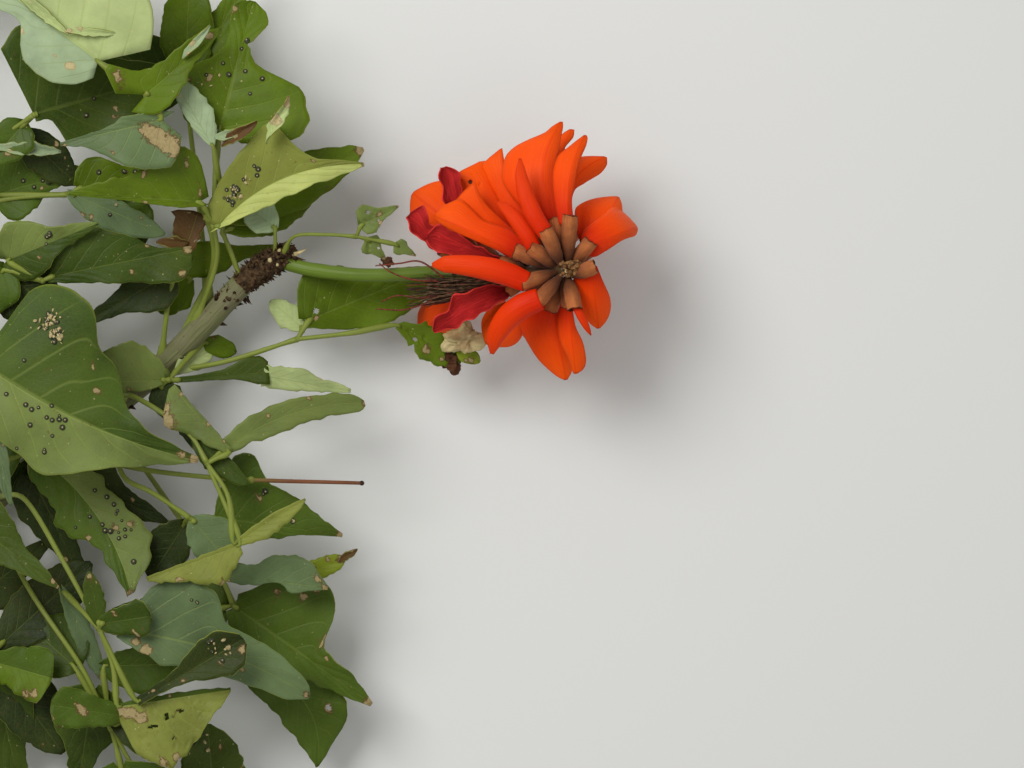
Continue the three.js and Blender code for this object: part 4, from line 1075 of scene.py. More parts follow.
     leaflet((14, -232, -22), (30, -278, -34), 14, "deep", 4),
     leaflet((14, -238, -20), (46, -306, -28), (15, 14), "dark", 4)),
    ("lower_right", [(50, -206, -29), (85, -255, -26), (110, -290, -18), (116, -303, -16)],
     leaflet((117, -304, -14), (185.5, -353, -14), (33, 24), "mid", 5, EAST, spots=[(1, 0, 4), (0.3, 0.72, 2.2),
             (0.34, 0.85, 1.6), (0.16, 0.62, 1.6), (0.55, 0.8, 2)], heel=0.03),
     leaflet((122, -336, -22), (158, -385, -26), (18, 15), "mid", 5, HOLLY, via=[(118, -318, -20)], sweep=14,
             holes=[(0.656, 0.5, 1.4, 1.3)], spots=[(0.656, 0.5, 2.3)], heel=0),
     leaflet((124, -298, -16), (172, -279.5, -11), (4.5, 5), "fresh", 8, BLUNT, spots=[(0.97, 0, 2.2),
             (0.7, 0.3, 1)]),
     strip((169, -281, -11), (178.5, -275, -8), 1.8, "umber", twist=60),
     leaflet((110, -305, -20), (54, -306, -30), (18, 20), "deep", 4)),
    ("top_back", [(104, -156, -19), (98, -100, -24), (92, -45, -16)],
     leaflet((92, -38, -14), (94, 14, -12), 13, "bright", 6, ROUNDED),
     leaflet((97, -38, -15), (128, 24, -20), 14, "bright", 6),
     leaflet((88, -44, -16), (30, -6, -30), 20, "deep", 6)),
    ("shoot_end", [(-16, -8, 3), (-36, 8, 6), (-44, 24, 4)],
     leaflet((-45, 26, 4), (-74, 86, -20), 28, "mid", 8),
     leaflet((-47, 20, 3), (-112, -8, -30), 24, "bright", 8),
     leaflet((-40, 24, 3), (10, 66, -12), 24, "mid", 8)),
    ("far_left", [(-35, -96, -12), (-60, -84, -14), (-72, -78, -16)],
     leaflet((-74, -77, -16), (-128, -50, -40), 24, "mid", 8),
     leaflet((-73, -80, -17), (-120, -122, -50), 24, "sage", 8),
     leaflet((-70, -74, -16), (-70, -18, -34), 22, "bright", 8)),
]
SLIM_LEAVES = {"young": 0.9, "crumpled": 0.9}

# Flowers: base and mouth of the calyx, tip of the standard petal and its two half widths
FRESH_FLOWERS = [
    ((277, -133.5, 32), (265, -124, 36), (248.5, -101.5, 30), (5, 5), dict(horn=4.0, sweep=-2)),
    ((279.5, -131.5, 38), (272.5, -116, 42), (260, -80.5, 34), (6, 5), dict(horn=4.2, sweep=3.5)),
    ((281, -131, 32), (278, -111, 29), (280.5, -61.5, 16), (15, 12), dict(fold=12, sweep=8, sides=FAN)),
    ((283.5, -131, 35), (284.7, -109, 38), (292.5, -68.5, 24), (9, 8), dict(fold=16, sweep=4, sides=HOOK)),
    ((272, -133.5, 17.5), (291, -112, 4), (303, -78, -10), (10, 7), dict(fold=12, sweep=10, sides=BACK)),
    ((278, -131.5, 27), (281, -111, 16), (286, -64.5, -2), (6, 3), dict(fold=10, sweep=5, sides=SECOND)),
    ((284, -134.5, 30.5), (295, -121.5, 34), (318.5, -114, 12), (15, 7), dict(fold=10, arch=5, sides=EAR)),
    ((282, -135.5, 26), (299, -122, 20), (309, -98.5, 6), (17, 8), dict(fold=8, arch=4, sides=(WING_LEFT, SLENDER))),
    ((287, -138, 38), (297, -134, 41), (299, -164.5, 22), (8, 10), dict(fold=10, sides=SIDE)),
    ((284, -140.5, 35), (287, -155, 40), (295, -168, 37), (3, 4), dict(horn=2.0, sweep=0)),
    ((278.5, -140.5, 38), (268, -152, 39), (246, -177, 26), (8, 8), dict(horn=6.0, sweep=-6)),
    ((276, -137.5, 35), (260.5, -142.5, 38), (216.5, -133, 34), (8, 8), dict(horn=5.6, sweep=-3, blunt=True)),
    ((272, -133, 28), (257.5, -126, 28), (217.5, -108.5, 24), (4, 13), dict(fold=8, sides=CREASED)),
    ((270, -132, 22), (257, -119, 21), (237, -92, 20), (12, 4), dict(fold=2, sweep=4, sides=CORNER)),
    ((275, -131, 22), (266, -114, 15), (250.5, -74.5, 6), (12, 5), dict(fold=10, sweep=4, sides=SAIL)),
    ((261.5, -131.5, 13), (252, -117, 11), (228.5, -87, 5.5), (8, 16), dict(fold=6, sides=NIBBLED)),
    ((251, -133, 5), (240, -123, -1), (206, -96, -16), (13, 16), dict(fold=8, sides=ROUND)),
    ((279.5, -141, 27), (275, -155, 22), (283, -190, 8), (6, 19), dict(fold=10, sides=SKIRT)),
    ((283, -140.5, 29), (284, -153, 27), (287.5, -187, 20), (7, 7), dict(fold=14, sides=TONGUE)),
    ((272, -141, 20), (262, -152, 14), (243, -172, 4), (12, 12), dict(fold=12)),
]
WITHERED_FLOWERS = [
    ((241, -133, 5), (231, -116, 12), (221.5, -84, 9), (5, 6), dict(fold=24, twist=40)),
    ((234, -134, 4), (221, -125, 11), (204, -108, 6), (6, 7), dict(fold=26, twist=40)),
    ((262, -135, 16), (250, -131, 18), (214, -119, 14), (6, 7.5), dict(fold=24, twist=20)),
    ((264, -140, 18), (254, -146, 18), (217, -166, 14), (4.5, 9), dict(fold=20, sweep=-1, sides=SLENDER)),
]
# Flowers on the underside: share of the axis, turn from straight down, lean along X
HANGING_FLOWERS = [(0.22, -35, -0.3), (0.325, 22, -0.175), (0.43, -15, -0.05), (0.535, 27, 0.075),
                   (0.64, -40, 0.2)]
HANGING_CALYX = 20
HANGING_REACH = 58
HANGING_DRIFT = -8
PETAL_HOLES = {"flower_16": [(0.82, -0.17, 1.2, 1.0)]}

# Share of the branch and turn of each prickle, and with its size of each leaf scar
PRICKLES = [(0.76, 78), (0.9, -96), (0.94, 40), (0.62, -70), (0.5, 100), (0.33, 60), (0.2, -80), (0.84, 150),
            (0.58, 170), (0.4, -150)]
SCARS = [(0.78, -43, 2.4), (0.935, -27, 1.6), (0.55, 20, 2.2), (0.3, -30, 2.4), (0.45, 140, 2.2), (0.7, -160, 2.4)]
SPLINTERS = Vector((121.5, -148.5, -16))

# Radii along a rolled petal, as shares of the greatest, and along a blunt one
HORN = (0.84, 0.95, 1.0, 1.0, 0.94, 0.86, 0.72, 0.5, 0.1)
BLUNT_HORN = (0.84, 0.95, 1.0, 1.0, 0.94, 0.88, 0.8, 0.68, 0.12)

# Calyx: radii along it, then the size and set-back of its rim, lip and inner wall
CALYX_RADII = (1.4, 1.8, 2.7, 3.3, 3.6, 3.75, 3.8, 3.8, 3.7)
CALYX_LIP = ((1.03, 0.3), (0.88, 0.15), (0.92, -4.0))

# Brush: how far each thread reaches and drifts, its spread along the spine, and single long threads
THREADS = 240
SPINE = 12
THREAD_ENDS = (5, 6, 6, 7, 8, 8, 9, 10)
THREAD_DRIFTS = (0.6, -2.6, 2.2, -0.8, -4.4)
BRUSH_SPREAD = [0.8, 3.6, 5.0, 6.0, 7.5]
STRAY_THREADS = [
    [(222, -139, 14), (210, -131, 16), (200, -132, 14), (188, -133, 10)],
    [(220, -141, 13), (206, -140, 16), (195, -136, 16), (190, -132, 15)],
    [(228, -149, 10), (213, -152, 10), (202, -155, 7), (188, -154.5, 4)],
    [(226, -148, 12), (210, -149, 12), (198, -148, 9), (191, -151, 7)],
]

# Lamps: size and place, in metres
LAMPS = {"key": (1.1, (-0.75, 0.75, 1.5)), "fill": (2.0, (1.2, -0.6, 1.4))}

# Seeds of the random draws
BRANCH_SEED, AXIS_SEED, LEAF_SEED, FLOWER_SEED, HANGING_SEED = 11, 5, 100, 300, 40
STAMEN_SEED, WITHERED_SEED, DEAD_STAMEN_SEED, BRUSH_SEED = 500, 700, 800, 900


def bark_relief(settings):
    """Change of radius over the branch: long furrows, knots and slight bends."""
    depth = settings.fissure / MM

    def relief(place, turn, share):
        furrow = noise.noise((math.cos(turn) * 4, math.sin(turn) * 4, share * 14))
        swell = noise.noise(place * 0.06)
        return depth * furrow - depth * abs(noise.noise(place * 0.55)) + 0.5 * swell

    return relief


def on_stem(path, radii, share, turn, lift=0.0):
    """Place and outward direction on a stem, with turn in degrees from its top, left positive."""
    places = smooth_path(path, 100)
    tangent, side, up = path_frames(places)[round(share * 100)]
    angle = math.radians(turn)
    out = (up * math.cos(angle) + side * math.sin(angle)).normalized()
    return places[round(share * 100)] + out * (linear(radii, share) + lift), out, tangent


class CORAL_OT_branch(bpy.types.Operator):
    """Grow the bark, prickles, leaf scars and the rough tip of the woody branch"""

    bl_idname = "coral.branch"
    bl_label = "Woody branch"

    def execute(self, context):
        settings = context.scene.coral_branch
        finishes = wood_finishes()
        rng = random.Random(BRANCH_SEED)
        branch = Piece()
        path, radii = BRANCH
        branch.tube(path, radii, finishes["bark"], sides=72, step=1.6, relief=bark_relief(settings),
                    end=finishes["cut"])
        prickle = settings.prickle / MM
        for share, turn in PRICKLES:
            foot, out, tangent = on_stem(path, radii, share, turn, -0.6)
            branch.thorn(foot, foot + (out * 0.85 + tangent * 0.4) * prickle, 1.5, finishes["stub"])
        for share, turn, size in SCARS:
            foot, out, _ = on_stem(path, radii, share, turn, -0.1)
            branch.lump(foot, size, finishes["bark"], 0.35, out, detail=2)
            branch.lump(foot + out * 0.5, size * 0.66, finishes["stub"], 0.3, out, detail=2)
        self.crumbs(branch, finishes, rng, path, radii, 36, 0.95, 1.0)
        for _ in range(14):
            foot = SPLINTERS + Vector(rng.uniform(-1.6, 1.6) for _ in range(3))
            way = Vector((rng.uniform(-0.2, 0.9), -1, rng.uniform(-0.6, 0.6))).normalized()
            branch.thorn(foot, foot + way * rng.uniform(2.5, 4.5), 0.8, finishes["stub"], sides=5)
        branch.finish("bark", ["woody_branch"], "bark")

        tip = Piece()
        path, radii = ROUGH_TIP
        tip.tube(path, radii, finishes["rough"], sides=40, step=0.9, relief=self.crust)
        self.crumbs(tip, finishes, rng, path, radii, 320, 0.0, 0.97)
        tip.thorn((146.5, -127.5, -3), (153.5, -124.5, 0), 1.5, finishes["cut"], sides=6)
        tip.thorn((147, -129, -5), (153, -130, -3), 1.2, finishes["rough"], sides=6)
        tip.finish("crusty_tip", ["rough_tip"], "rough_bark")
        return {"FINISHED"}

    @staticmethod
    def crust(place, turn, share):
        """Broken surface of the tip, which narrows at its end."""
        lumps = 1.5 * noise.noise(place * 0.36) + 0.9 * noise.noise(place * 0.9) + 0.5 * noise.noise(place * 2.1)
        return lumps - 0.5 - 2.6 * max(0.0, share - 0.8) / 0.2

    @staticmethod
    def crumbs(piece, finishes, rng, path, radii, count, low, high):
        """Flakes of bark and stubs of fallen bracts."""
        for _ in range(count):
            share = rng.uniform(low, high)
            foot, out, tangent = on_stem(path, radii, share, rng.uniform(-180, 180), -0.4)
            lean = out + tangent * rng.uniform(-0.3, 1.1)
            size = rng.uniform(0.4, 1.5)
            if rng.random() < 0.5:
                piece.thorn(foot, foot + lean.normalized() * rng.uniform(1.0, 3.2), size,
                            finishes[rng.choice(["rough", "stub", "rough"])], sides=5)
            else:
                piece.lump(foot, size, finishes[rng.choice(["rough"] * 5 + ["stub"] * 3 + ["cut"])],
                           rng.uniform(0.4, 0.9), lean)


class CORAL_OT_stems(bpy.types.Operator):
    """Grow the side shoot, the flower stalk, the axis of the flowers and the bare leaf stalk"""

    bl_idname = "coral.stems"
    bl_label = "Green stems"

    def execute(self, context):
        finishes = wood_finishes()
        stalk = ([*PEDUNCLE[0], (218, -136.5, 0)], [*PEDUNCLE[1], 3.45])
        for name, node, (path, radii), sides, look in (
                ("young_shoot", "side_shoot", SHOOT, 28, "stem"),
                ("flower_stalk", "peduncle", stalk, 32, "stem"),
                ("flower_axis", "raceme_axis", AXIS, 32, "axis")):
            stem = Piece()
            stem.tube(path, radii, finishes[look], sides=sides, step=2.0, relief=self.swelling)
            if node == "raceme_axis":
                self.stubs(stem, finishes)
            stem.finish(name, [node], "green_stem")
        bare = Piece()
        path, radii = BARE_RACHIS
        bare.tube(path, radii, finishes["bare"], sides=14, step=2.0, end=finishes["stub"])
        bare.lump(Vector(path[-1]), 1.3, finishes["stub"], 0.9, detail=2)
        joint, _, _ = on_stem(path, radii, 0.66, 0, -1.0)
        bare.lump(joint, 1.9, finishes["petiole"], 0.8, detail=2)
        bare.finish("bare_leaf_stalk", ["bare_rachis"], "green_stem")
        return {"FINISHED"}

    @staticmethod
    def swelling(place, turn, share):
        """Soft unevenness of a young stem."""
        return 0.22 * noise.noise(place * 0.12) + 0.1 * noise.noise((math.cos(turn) * 2, math.sin(turn) * 2, share * 9))

    @staticmethod
    def stubs(stem, finishes):
        """Scars of fallen flowers along the axis and the cluster of buds at its end."""
        rng = random.Random(AXIS_SEED)
        path, radii = AXIS
        for _ in range(46):
            share = rng.uniform(0.12, 0.95)
            foot, out, _ = on_stem(path, radii, share, rng.uniform(-180, 180), -0.3)
            stem.lump(foot, rng.uniform(0.9, 1.5), finishes["stub"], 0.6, out)
        end, ahead = Vector(path[-1]), (Vector(path[-1]) - Vector(path[-2])).normalized()
        for number in range(64):
            lean = Vector((rng.uniform(-1, 1), rng.uniform(-1, 1), rng.uniform(-0.9, 1))).normalized()
            foot = end + lean * 1.6 + Vector((1.6, 0.2, -0.5))
            tip = foot + (lean + ahead * 0.5).normalized() * rng.uniform(1.6, 5.2)
            look = "cut" if lean.z > 0.3 and number % 7 == 0 else "bud"
            stem.tube([foot, foot.lerp(tip, 0.5), tip], [0.9, 1.2, 0.8], finishes[look], sides=7, step=1.2)


class CORAL_OT_leaves(bpy.types.Operator):
    """Grow every compound leaf: its stalk, its leaflets with their veins, and galls and dead patches"""

    bl_idname = "coral.leaves"
    bl_label = "Leaves"

    def execute(self, context):
        settings = context.scene.coral_foliage
        self.thickness = settings.thickness / MM
        self.cell = settings.cell / MM * 1.0
        self.quilting = settings.quilting / MM
        self.stalk = wood_finishes()["petiole"]
        self.rim = rim_finish()
        self.gall = speckled_finish("Gall", settings.gall, 0.4, 700.0)
        self.husk = speckled_finish("Husk", settings.husk, 0.5, 900.0)
        self.crumpled = {
            "cream": speckled_finish("Bleached tissue", settings.cream, paint(150, 118, 78), 70.0, 0.8, 0.2),
            "dry": speckled_finish("Brown tissue", settings.umber, 0.35, 90.0, 0.8, 0.3),
        }
        for number, (name, stalk, *leaflets) in enumerate(LEAVES):
            self.rng = random.Random(LEAF_SEED + number)
            self.leaf(name, stalk, leaflets)
        return {"FINISHED"}

    def leaf(self, name, stalk, leaflets):
        piece = Piece()
        slim = SLIM_LEAVES.get(name)
        foot, middle, end = (2 * slim, slim, slim) if slim else (STALK_FOOT, STALK_MIDDLE, STALK_END)
        piece.tube(stalk, [1.25 * foot, foot, *[middle] * 5, end, 1.5 * end], self.stalk, sides=10, step=2.4)
        piece.lump(Vector(stalk[-1]), 1.45 * end, self.stalk, detail=2)
        for spec in leaflets:
            if "crumple" in spec:
                self.crumple(piece, *spec["crumple"])
            else:
                self.leaflet(piece, stalk[-1], spec, min(LEAFLET_STALK, slim or LEAFLET_STALK))
        piece.finish(f"{name}_leaf", [f"leaf_{name}"], "leaf")

    def leaflet(self, piece, node, spec, radius):
        rng = self.rng
        wide = sum(spec["blade"]["half"])
        blade = Blade(wave=rng.uniform(0.05, 0.12) * wide / 2, waves=rng.uniform(1.4, 3.0),
                      seed=rng.uniform(0, 6.28), quilting=self.quilting, **spec["blade"])
        if not spec["loose"]:
            way = [node, *spec["via"], tuple(blade.base), tuple(blade.base + blade.ahead * 2.0)]
            radii = [share * radius for share in (1, 1, 1, 1.4, 1.5, 0.7)]
            piece.tube(way, radii, self.stalk, sides=8, step=2.0)
        looks = spec["look"] if isinstance(spec["look"], tuple) else (spec["look"], spec["look"])
        spots = list(spec["spots"])
        for _ in range(rng.randint(0, 3) if wide > SMALL_LEAFLET else 1):
            spots.append((rng.uniform(0.1, 0.95), rng.choice((-1, 1)) * rng.uniform(0.3, 1.0), rng.uniform(0.7, 1.3)))
        grow_blade(piece, blade, self.thickness, self.cell,
                   lambda left, below: leaf_finish(looks[0 if left else 1], below), self.rim, spots, spec["holes"])
        for gall in spec["galls"]:
            self.galls(piece, blade, *gall)

    def galls(self, piece, blade, u, v, spread, count):
        """Cluster of swellings round a place on a blade, in millimetres of spread. Close ones are husks too."""
        rng = self.rng
        tight = spread < TIGHT_GALLS
        wide = blade.half[0 if v > 0 else 1]
        for _ in range(count):
            gu = min(max(u + rng.gauss(0, 0.5) * spread / blade.size, 0.03), 0.97)
            gv = min(max(v + rng.gauss(0, 0.5) * spread / wide, -0.93), 0.93)
            size = rng.uniform(0.8, 1.5 if tight else 1.7)
            out, place = blade.outward(gu, gv), blade.point(gu, gv)
            if tight and rng.random() < HUSK_SHARE:
                lean = Vector((rng.uniform(-1, 1), rng.uniform(-1, 1), rng.uniform(0, 1))).normalized()
                piece.lump(place + lean * size * 0.5, size * rng.uniform(0.6, 1.3), self.husk,
                           rng.uniform(0.25, 0.6), lean)
                continue
            piece.lump(place, size, self.gall, 0.7, out, detail=2)
            # Painted highlight: a small pale cap in the husk colour on top of each gall.
            piece.lump(place + out * size * 0.55, size * 0.34, self.husk, 0.6, out)

    def crumple(self, piece, centre, reach, shape, look):
        """Dry tissue rolled into a crumpled lump."""
        for vert in piece.lump(centre, reach, self.crumpled[look], detail=5):
            offset = vert.co - centre
            fold = noise.noise(offset * (1.3 / reach) + Vector((3.7 * reach, 0, 0)))
            crease = abs(noise.noise(offset * (2.6 / reach) + Vector((0, reach, 0))))
            offset *= 1 + 0.8 * fold - 0.5 * crease
            vert.co = centre + offset * Vector(shape)


class CORAL_OT_flowers(bpy.types.Operator):
    """Grow the fresh flowers: calyx, standard petal and stamens, also those on the underside"""

    bl_idname = "coral.flowers"
    bl_label = "Fresh flowers"

    def execute(self, context):
        settings = context.scene.coral_flower
        for number, spec in enumerate(FRESH_FLOWERS):
            fresh_flower(settings, spec, number, f"standard_{number + 1:02d}", f"flower_{number + 1:02d}")
        for number, (share, turn, lean) in enumerate(HANGING_FLOWERS):
            base = smooth_path(AXIS[0], 200)[round(share * 200)]
            angle = math.radians(turn)
            out = Vector((lean, math.sin(angle), -math.cos(angle))).normalized()
            tip = base + out * HANGING_REACH + Vector((HANGING_DRIFT, 0, 0))
            spec = (base, base + out * HANGING_CALYX, tip, (11, 11), dict(fold=14))
            fresh_flower(settings, spec, HANGING_SEED + number, f"hanging_{number + 1:02d}",
                         f"under_flower_{number + 1:02d}")
        return {"FINISHED"}


def grow_calyx(piece, base, mouth, seed, wide=1.0):
    """Ribbed tube from the axis to its toothed mouth, open, with an inner wall."""
    inside = base.lerp(mouth, -0.15)
    axis = (mouth - base).normalized()
    bend = axis.cross(UP).cross(axis) * random.Random(seed).uniform(0.3, 1.2)
    path = [inside, base.lerp(mouth, 0.5) + bend, mouth]
    radii = [wide * value for value in CALYX_RADII]

    def relief(place, turn, share):
        rib = 0.08 * math.cos(10 * turn) * share
        return rib + 0.3 * noise.noise(place * 0.3) + 0.12 * noise.noise(place * 1.1)

    faces = piece.tube(path, radii, calyx_finish(), sides=30, step=1.0, relief=relief, closed=False)
    edges = unique(edge for face in faces for edge in face.edges if edge.is_boundary)
    rim = [edge for edge in edges if (edge.verts[0].co - mouth).length < (edge.verts[0].co - inside).length]
    foot = [edge for edge in edges if edge not in rim]
    for vert in unique(vert for edge in rim for vert in edge.verts):
        out = (vert.co - mouth).normalized()
        turn = math.atan2(out.dot(axis.cross(UP).normalized()), out.dot(UP))
        ragged = 0.5 * noise.noise((3 * math.cos(turn), 3 * math.sin(turn), seed))
        vert.co += axis * (0.2 * math.cos(5 * turn + seed) + 0.4 * math.cos(turn + seed) + ragged)
    # The rim, lip and inner wall take the dark rim finish; on the inner wall it is painted shade inside the mouth.
    for size, back in CALYX_LIP:
        made = bmesh.ops.extrude_edge_only(piece.mesh, edges=rim)["geom"]
        rim = [edge for edge in only(made, bmesh.types.BMEdge) if edge.is_boundary]
        for vert in unique(vert for edge in rim for vert in edge.verts):
            vert.co = mouth + (vert.co - mouth) * size + axis * back
        for face in only(made, bmesh.types.BMFace):
            face.material_index = piece.number(calyx_rim())
            face.smooth = True
            faces.append(face)
    caps = [*piece.close(rim, calyx_finish()), *piece.close(foot, calyx_finish())]
    bmesh.ops.recalc_face_normals(piece.mesh, faces=[*faces, *caps])


def grow_stamens(piece, blade, start, count, material, seed):
    """Thin filaments that follow a petal on its far side."""
    rng = random.Random(seed)
    for _ in range(count):
        way = [start]
        drift = rng.uniform(-0.25, 0.25)
        for u in (0.15, 0.4, rng.uniform(0.6, 0.85)):
            centre, side, normal, left, _ = blade.row(u)
            way.append(centre - normal * rng.uniform(2.5, 4.5) + side * drift * left * u)
        piece.tube(way, [0.4, 0.35, 0.3, 0.3, 0.45], material, sides=5, step=5.0)


def grow_horn(piece, blade, reach, blunt, material):
    """Petal that is still rolled up: a curved horn with a seam."""
    middle = blade.row(0.5)[0]
    bow = middle - blade.base - blade.chord * 0.5
    near = blade.base + blade.chord * 0.25 + bow * 0.75
    far = blade.base + blade.chord * 0.78 + bow * 0.7
    path = [blade.base, near, middle, far, blade.base + blade.chord]
    radii = [reach * share for share in (BLUNT_HORN if blunt else HORN)]

    def relief(place, turn, share):
        seam = -0.22 * reach * max(0.0, math.cos(turn - 0.5 * math.pi - 1.9)) ** 14
        return seam + 0.08 * reach * math.cos(2 * turn) + 0.2 * noise.noise(place * 0.18)

    piece.tube(path, radii, material, sides=36, step=1.2, relief=relief)


def fresh_flower(settings, spec, number, name, node):
    """One flower: calyx, standard petal and its stamens."""
    base, mouth, tip = (Vector(place) for place in spec[:3])
    half, form = spec[3:]
    rng = random.Random(FLOWER_SEED + number)
    piece = Piece()
    grow_calyx(piece, base, mouth, FLOWER_SEED + number)
    light = petal_finish("Petal", settings.petal, settings.deep)
    blade = Blade(
        base.lerp(mouth, 0.8), tip, half, fold=-form.get("fold", 0), arch=form.get("arch", 0) + 1.5,
        sweep=form.get("sweep", 0), sides=form.get("sides", BROAD), wave=0.5, waves=rng.uniform(1.0, 1.8),
        seed=rng.uniform(0, 6.28), curl=-16)
    if "horn" in form:
        rolled = petal_finish("Rolled petal", settings.rolled, settings.deep, painted_backlight=0.08)
        grow_horn(piece, blade, form["horn"], form.get("blunt"), rolled)
    else:
        holes = PETAL_HOLES.get(node, [])
        cell = settings.cell / MM * 1.0
        grow_blade(piece, blade, settings.thickness / MM, cell, lambda left, below: light, light, holes=holes)
        # Painted shade: a dark disc just behind each hole in a petal, in the calyx rim finish, shows dark through the
        # hole.
        for u, v, reach, _ in holes:
            out = blade.outward(u, v)
            piece.lump(blade.point(u, v) - out * 1.1, 1.6 * reach, calyx_rim(), 0.35, out, detail=2)
    red = speckled_finish("Filament", settings.filament, 0.6, 500.0)
    grow_stamens(piece, blade, mouth, settings.filaments, red, STAMEN_SEED + number)
    piece.finish(name, [node], "petal")


class CORAL_OT_withered(bpy.types.Operator):
    """Grow the withered flowers and the brush of dead stamens"""

    bl_idname = "coral.withered"
    bl_label = "Withered flowers"

    def execute(self, context):
        settings = context.scene.coral_flower
        crimson = petal_finish("Withered petal", settings.withered, settings.withered_deep, 0.8, 0.0, 0.06)
        threads = speckled_finish("Dead stamens", settings.dead, 0.45, 500.0)
        for number, (base, mouth, tip, half, form) in enumerate(WITHERED_FLOWERS):
            piece = Piece()
            base, mouth, tip = Vector(base), Vector(mouth), Vector(tip)
            grow_calyx(piece, base, mouth, WITHERED_SEED + number, 0.85)
            blade = Blade(base.lerp(mouth, 0.8), tip, [1.25 * value for value in half], wave=1.6, waves=2.3,
                          seed=1.7 * number, arch=2, ragged=2.4, rough=6, curl=24, **{"sides": BLUNT, **form})
            grow_blade(piece, blade, settings.thickness / MM, settings.cell / MM,
                       lambda left, below: crimson, crimson)
            grow_stamens(piece, blade, mouth, settings.filaments, threads, DEAD_STAMEN_SEED + number)
            piece.finish(f"withered_{number + 1:02d}", [f"withered_flower_{number + 1:02d}"], "withered_petal")
        self.brush(threads)
        return {"FINISHED"}

    @staticmethod
    def brush(threads):
        """Bundle of dead stamens that spreads towards the leaves."""
        settings = bpy.context.scene.coral_flower
        # Lighter tan threads: partly their own colour, partly a painted highlight.
        tan_and_highlight = speckled_finish("Tan stamens", mixed(settings.dead, 2.6), settings.dead, 500.0)
        ruddy = speckled_finish("Ruddy stamens", paint(132, 62, 44), paint(84, 34, 26), 500.0)
        rng = random.Random(BRUSH_SEED)
        piece = Piece()
        spine = smooth_path(BRUSH, SPINE)
        frames = path_frames(spine)
        for number in range(THREADS):
            turn = rng.uniform(0, 2 * math.pi)
            spread = math.sqrt(rng.random())
            last = rng.choice(THREAD_ENDS)
            stray = rng.gauss(0, 1.0) + THREAD_DRIFTS[number % len(THREAD_DRIFTS)]
            way = []
            for index in range(0, last + 1, 2):
                _, side, up = frames[index]
                wide = linear(BRUSH_SPREAD, index / SPINE) * spread
                jitter = Vector((rng.gauss(0, 0.6), rng.gauss(0, 0.9) + stray * (index / 8) ** 2, rng.gauss(0, 0.8)))
                way.append(spine[index] + (side * math.cos(turn) + up * math.sin(turn)) * wide + jitter)
            # Threads on the top of the brush more often take the lighter tan: partly their own colour, partly a painted
            # highlight where light falls on top.
            high = math.sin(turn) * spread
            look = tan_and_highlight if high > 0.3 and rng.random() < 0.6 else rng.choice([threads, threads, threads, ruddy])
            piece.tube(way, [0.42, 0.36, 0.3, 0.2], look, sides=5, step=4.0)
        for way in STRAY_THREADS:
            piece.tube(way, [0.5, 0.45, 0.4, 0.3], ruddy, sides=6, step=2.0)
        piece.tube(spine[:7], [1.2, 2.6, 3.6, 3.2, 0.6], threads, sides=16, step=2.0,
                   relief=lambda place, turn, share: 0.5 * math.cos(8 * turn + 4 * share))
        piece.finish("stamen_threads", ["stamen_brush"], "stamen")


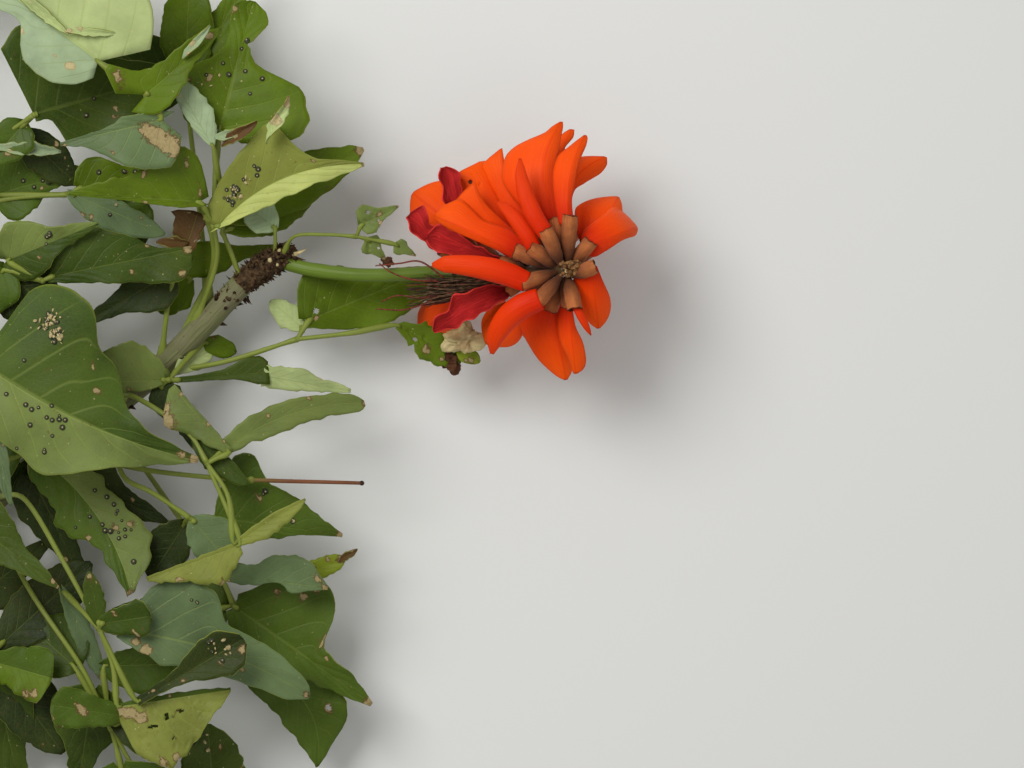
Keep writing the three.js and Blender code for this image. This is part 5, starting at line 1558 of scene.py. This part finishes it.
class CORAL_OT_stage(bpy.types.Operator):
    """Set the pale floor, the soft lights and the camera that looks straight down"""

    bl_idname = "coral.stage"
    bl_label = "Floor, lights and camera"

    def execute(self, context):
        settings = context.scene.coral_stage
        ground = bmesh.new()
        bmesh.ops.create_grid(ground, x_segments=1, y_segments=1, size=settings.floor / 2)
        bmesh.ops.translate(ground, verts=ground.verts, vec=(0, 0, -0.5 * MM))
        mesh = bpy.data.meshes.new("floor")
        ground.to_mesh(mesh)
        ground.free()

        mesh.materials.append(finish("Floor", lambda tree: {
            "Base Color": (*settings.floor_colour, 1), "Roughness": 0.85}))
        floor = bpy.data.objects.new("floor", mesh)
        context.scene.collection.objects.link(floor)

        world = bpy.data.worlds.new("Studio")
        world.use_nodes = True
        light = world.node_tree.nodes["Background"].inputs
        light["Color"].default_value, light["Strength"].default_value = (1, 1, 1, 1), settings.sky
        context.scene.world = world
        context.scene.view_settings.view_transform = "Standard"
        for name, (size, place) in LAMPS.items():
            self.lamp(context, name, getattr(settings, name), size, Vector(place))

        camera = bpy.data.cameras.new("camera")
        camera.sensor_width = 36
        camera.lens = camera.sensor_width * settings.distance / settings.width
        camera.clip_end = 100
        eye = bpy.data.objects.new("camera", camera)
        eye.location = SHIFT + Vector((settings.width / 2, -settings.height / 2, settings.distance))
        context.scene.collection.objects.link(eye)
        context.scene.camera = eye
        return {"FINISHED"}

    @staticmethod
    def lamp(context, name, power, size, place):
        lamp = bpy.data.lights.new(name, "AREA")
        lamp.shape = "DISK"
        lamp.size = size
        lamp.energy = power
        lit = bpy.data.objects.new(name, lamp)
        lit.location = place
        lit.rotation_euler = (-place).to_track_quat("-Z", "Y").to_euler()
        context.scene.collection.objects.link(lit)


class VIEW3D_PT_coral(bpy.types.Panel):
    """Steps that grow the branch"""

    bl_idname = "VIEW3D_PT_coral"
    bl_label = "Coral tree branch"
    bl_space_type = "VIEW_3D"
    bl_region_type = "UI"
    bl_category = "Coral tree"

    def draw(self, context):
        for step in STEPS:
            self.layout.operator(step.bl_idname)


STEPS = (CORAL_OT_branch, CORAL_OT_stems, CORAL_OT_leaves, CORAL_OT_flowers, CORAL_OT_withered, CORAL_OT_stage)
GROUPS = {
    "coral_branch": BranchSettings,
    "coral_foliage": FoliageSettings,
    "coral_flower": FlowerSettings,
    "coral_stage": StageSettings,
}


def register():
    for group in GROUPS.values():
        bpy.utils.register_class(group)
    for name, group in GROUPS.items():
        setattr(bpy.types.Scene, name, bpy.props.PointerProperty(type=group))
    for step in (*STEPS, VIEW3D_PT_coral):
        bpy.utils.register_class(step)


def unregister():
    for step in (VIEW3D_PT_coral, *reversed(STEPS)):
        bpy.utils.unregister_class(step)
    for name in GROUPS:
        delattr(bpy.types.Scene, name)
    for group in GROUPS.values():
        bpy.utils.unregister_class(group)


def main():
    """Grows every piece in order."""
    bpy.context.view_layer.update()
    register()
    bpy.ops.coral.branch()
    bpy.ops.coral.stems()
    bpy.ops.coral.leaves()
    bpy.ops.coral.flowers()
    bpy.ops.coral.withered()
    bpy.ops.coral.stage()


if __name__ == "__main__":
    main()
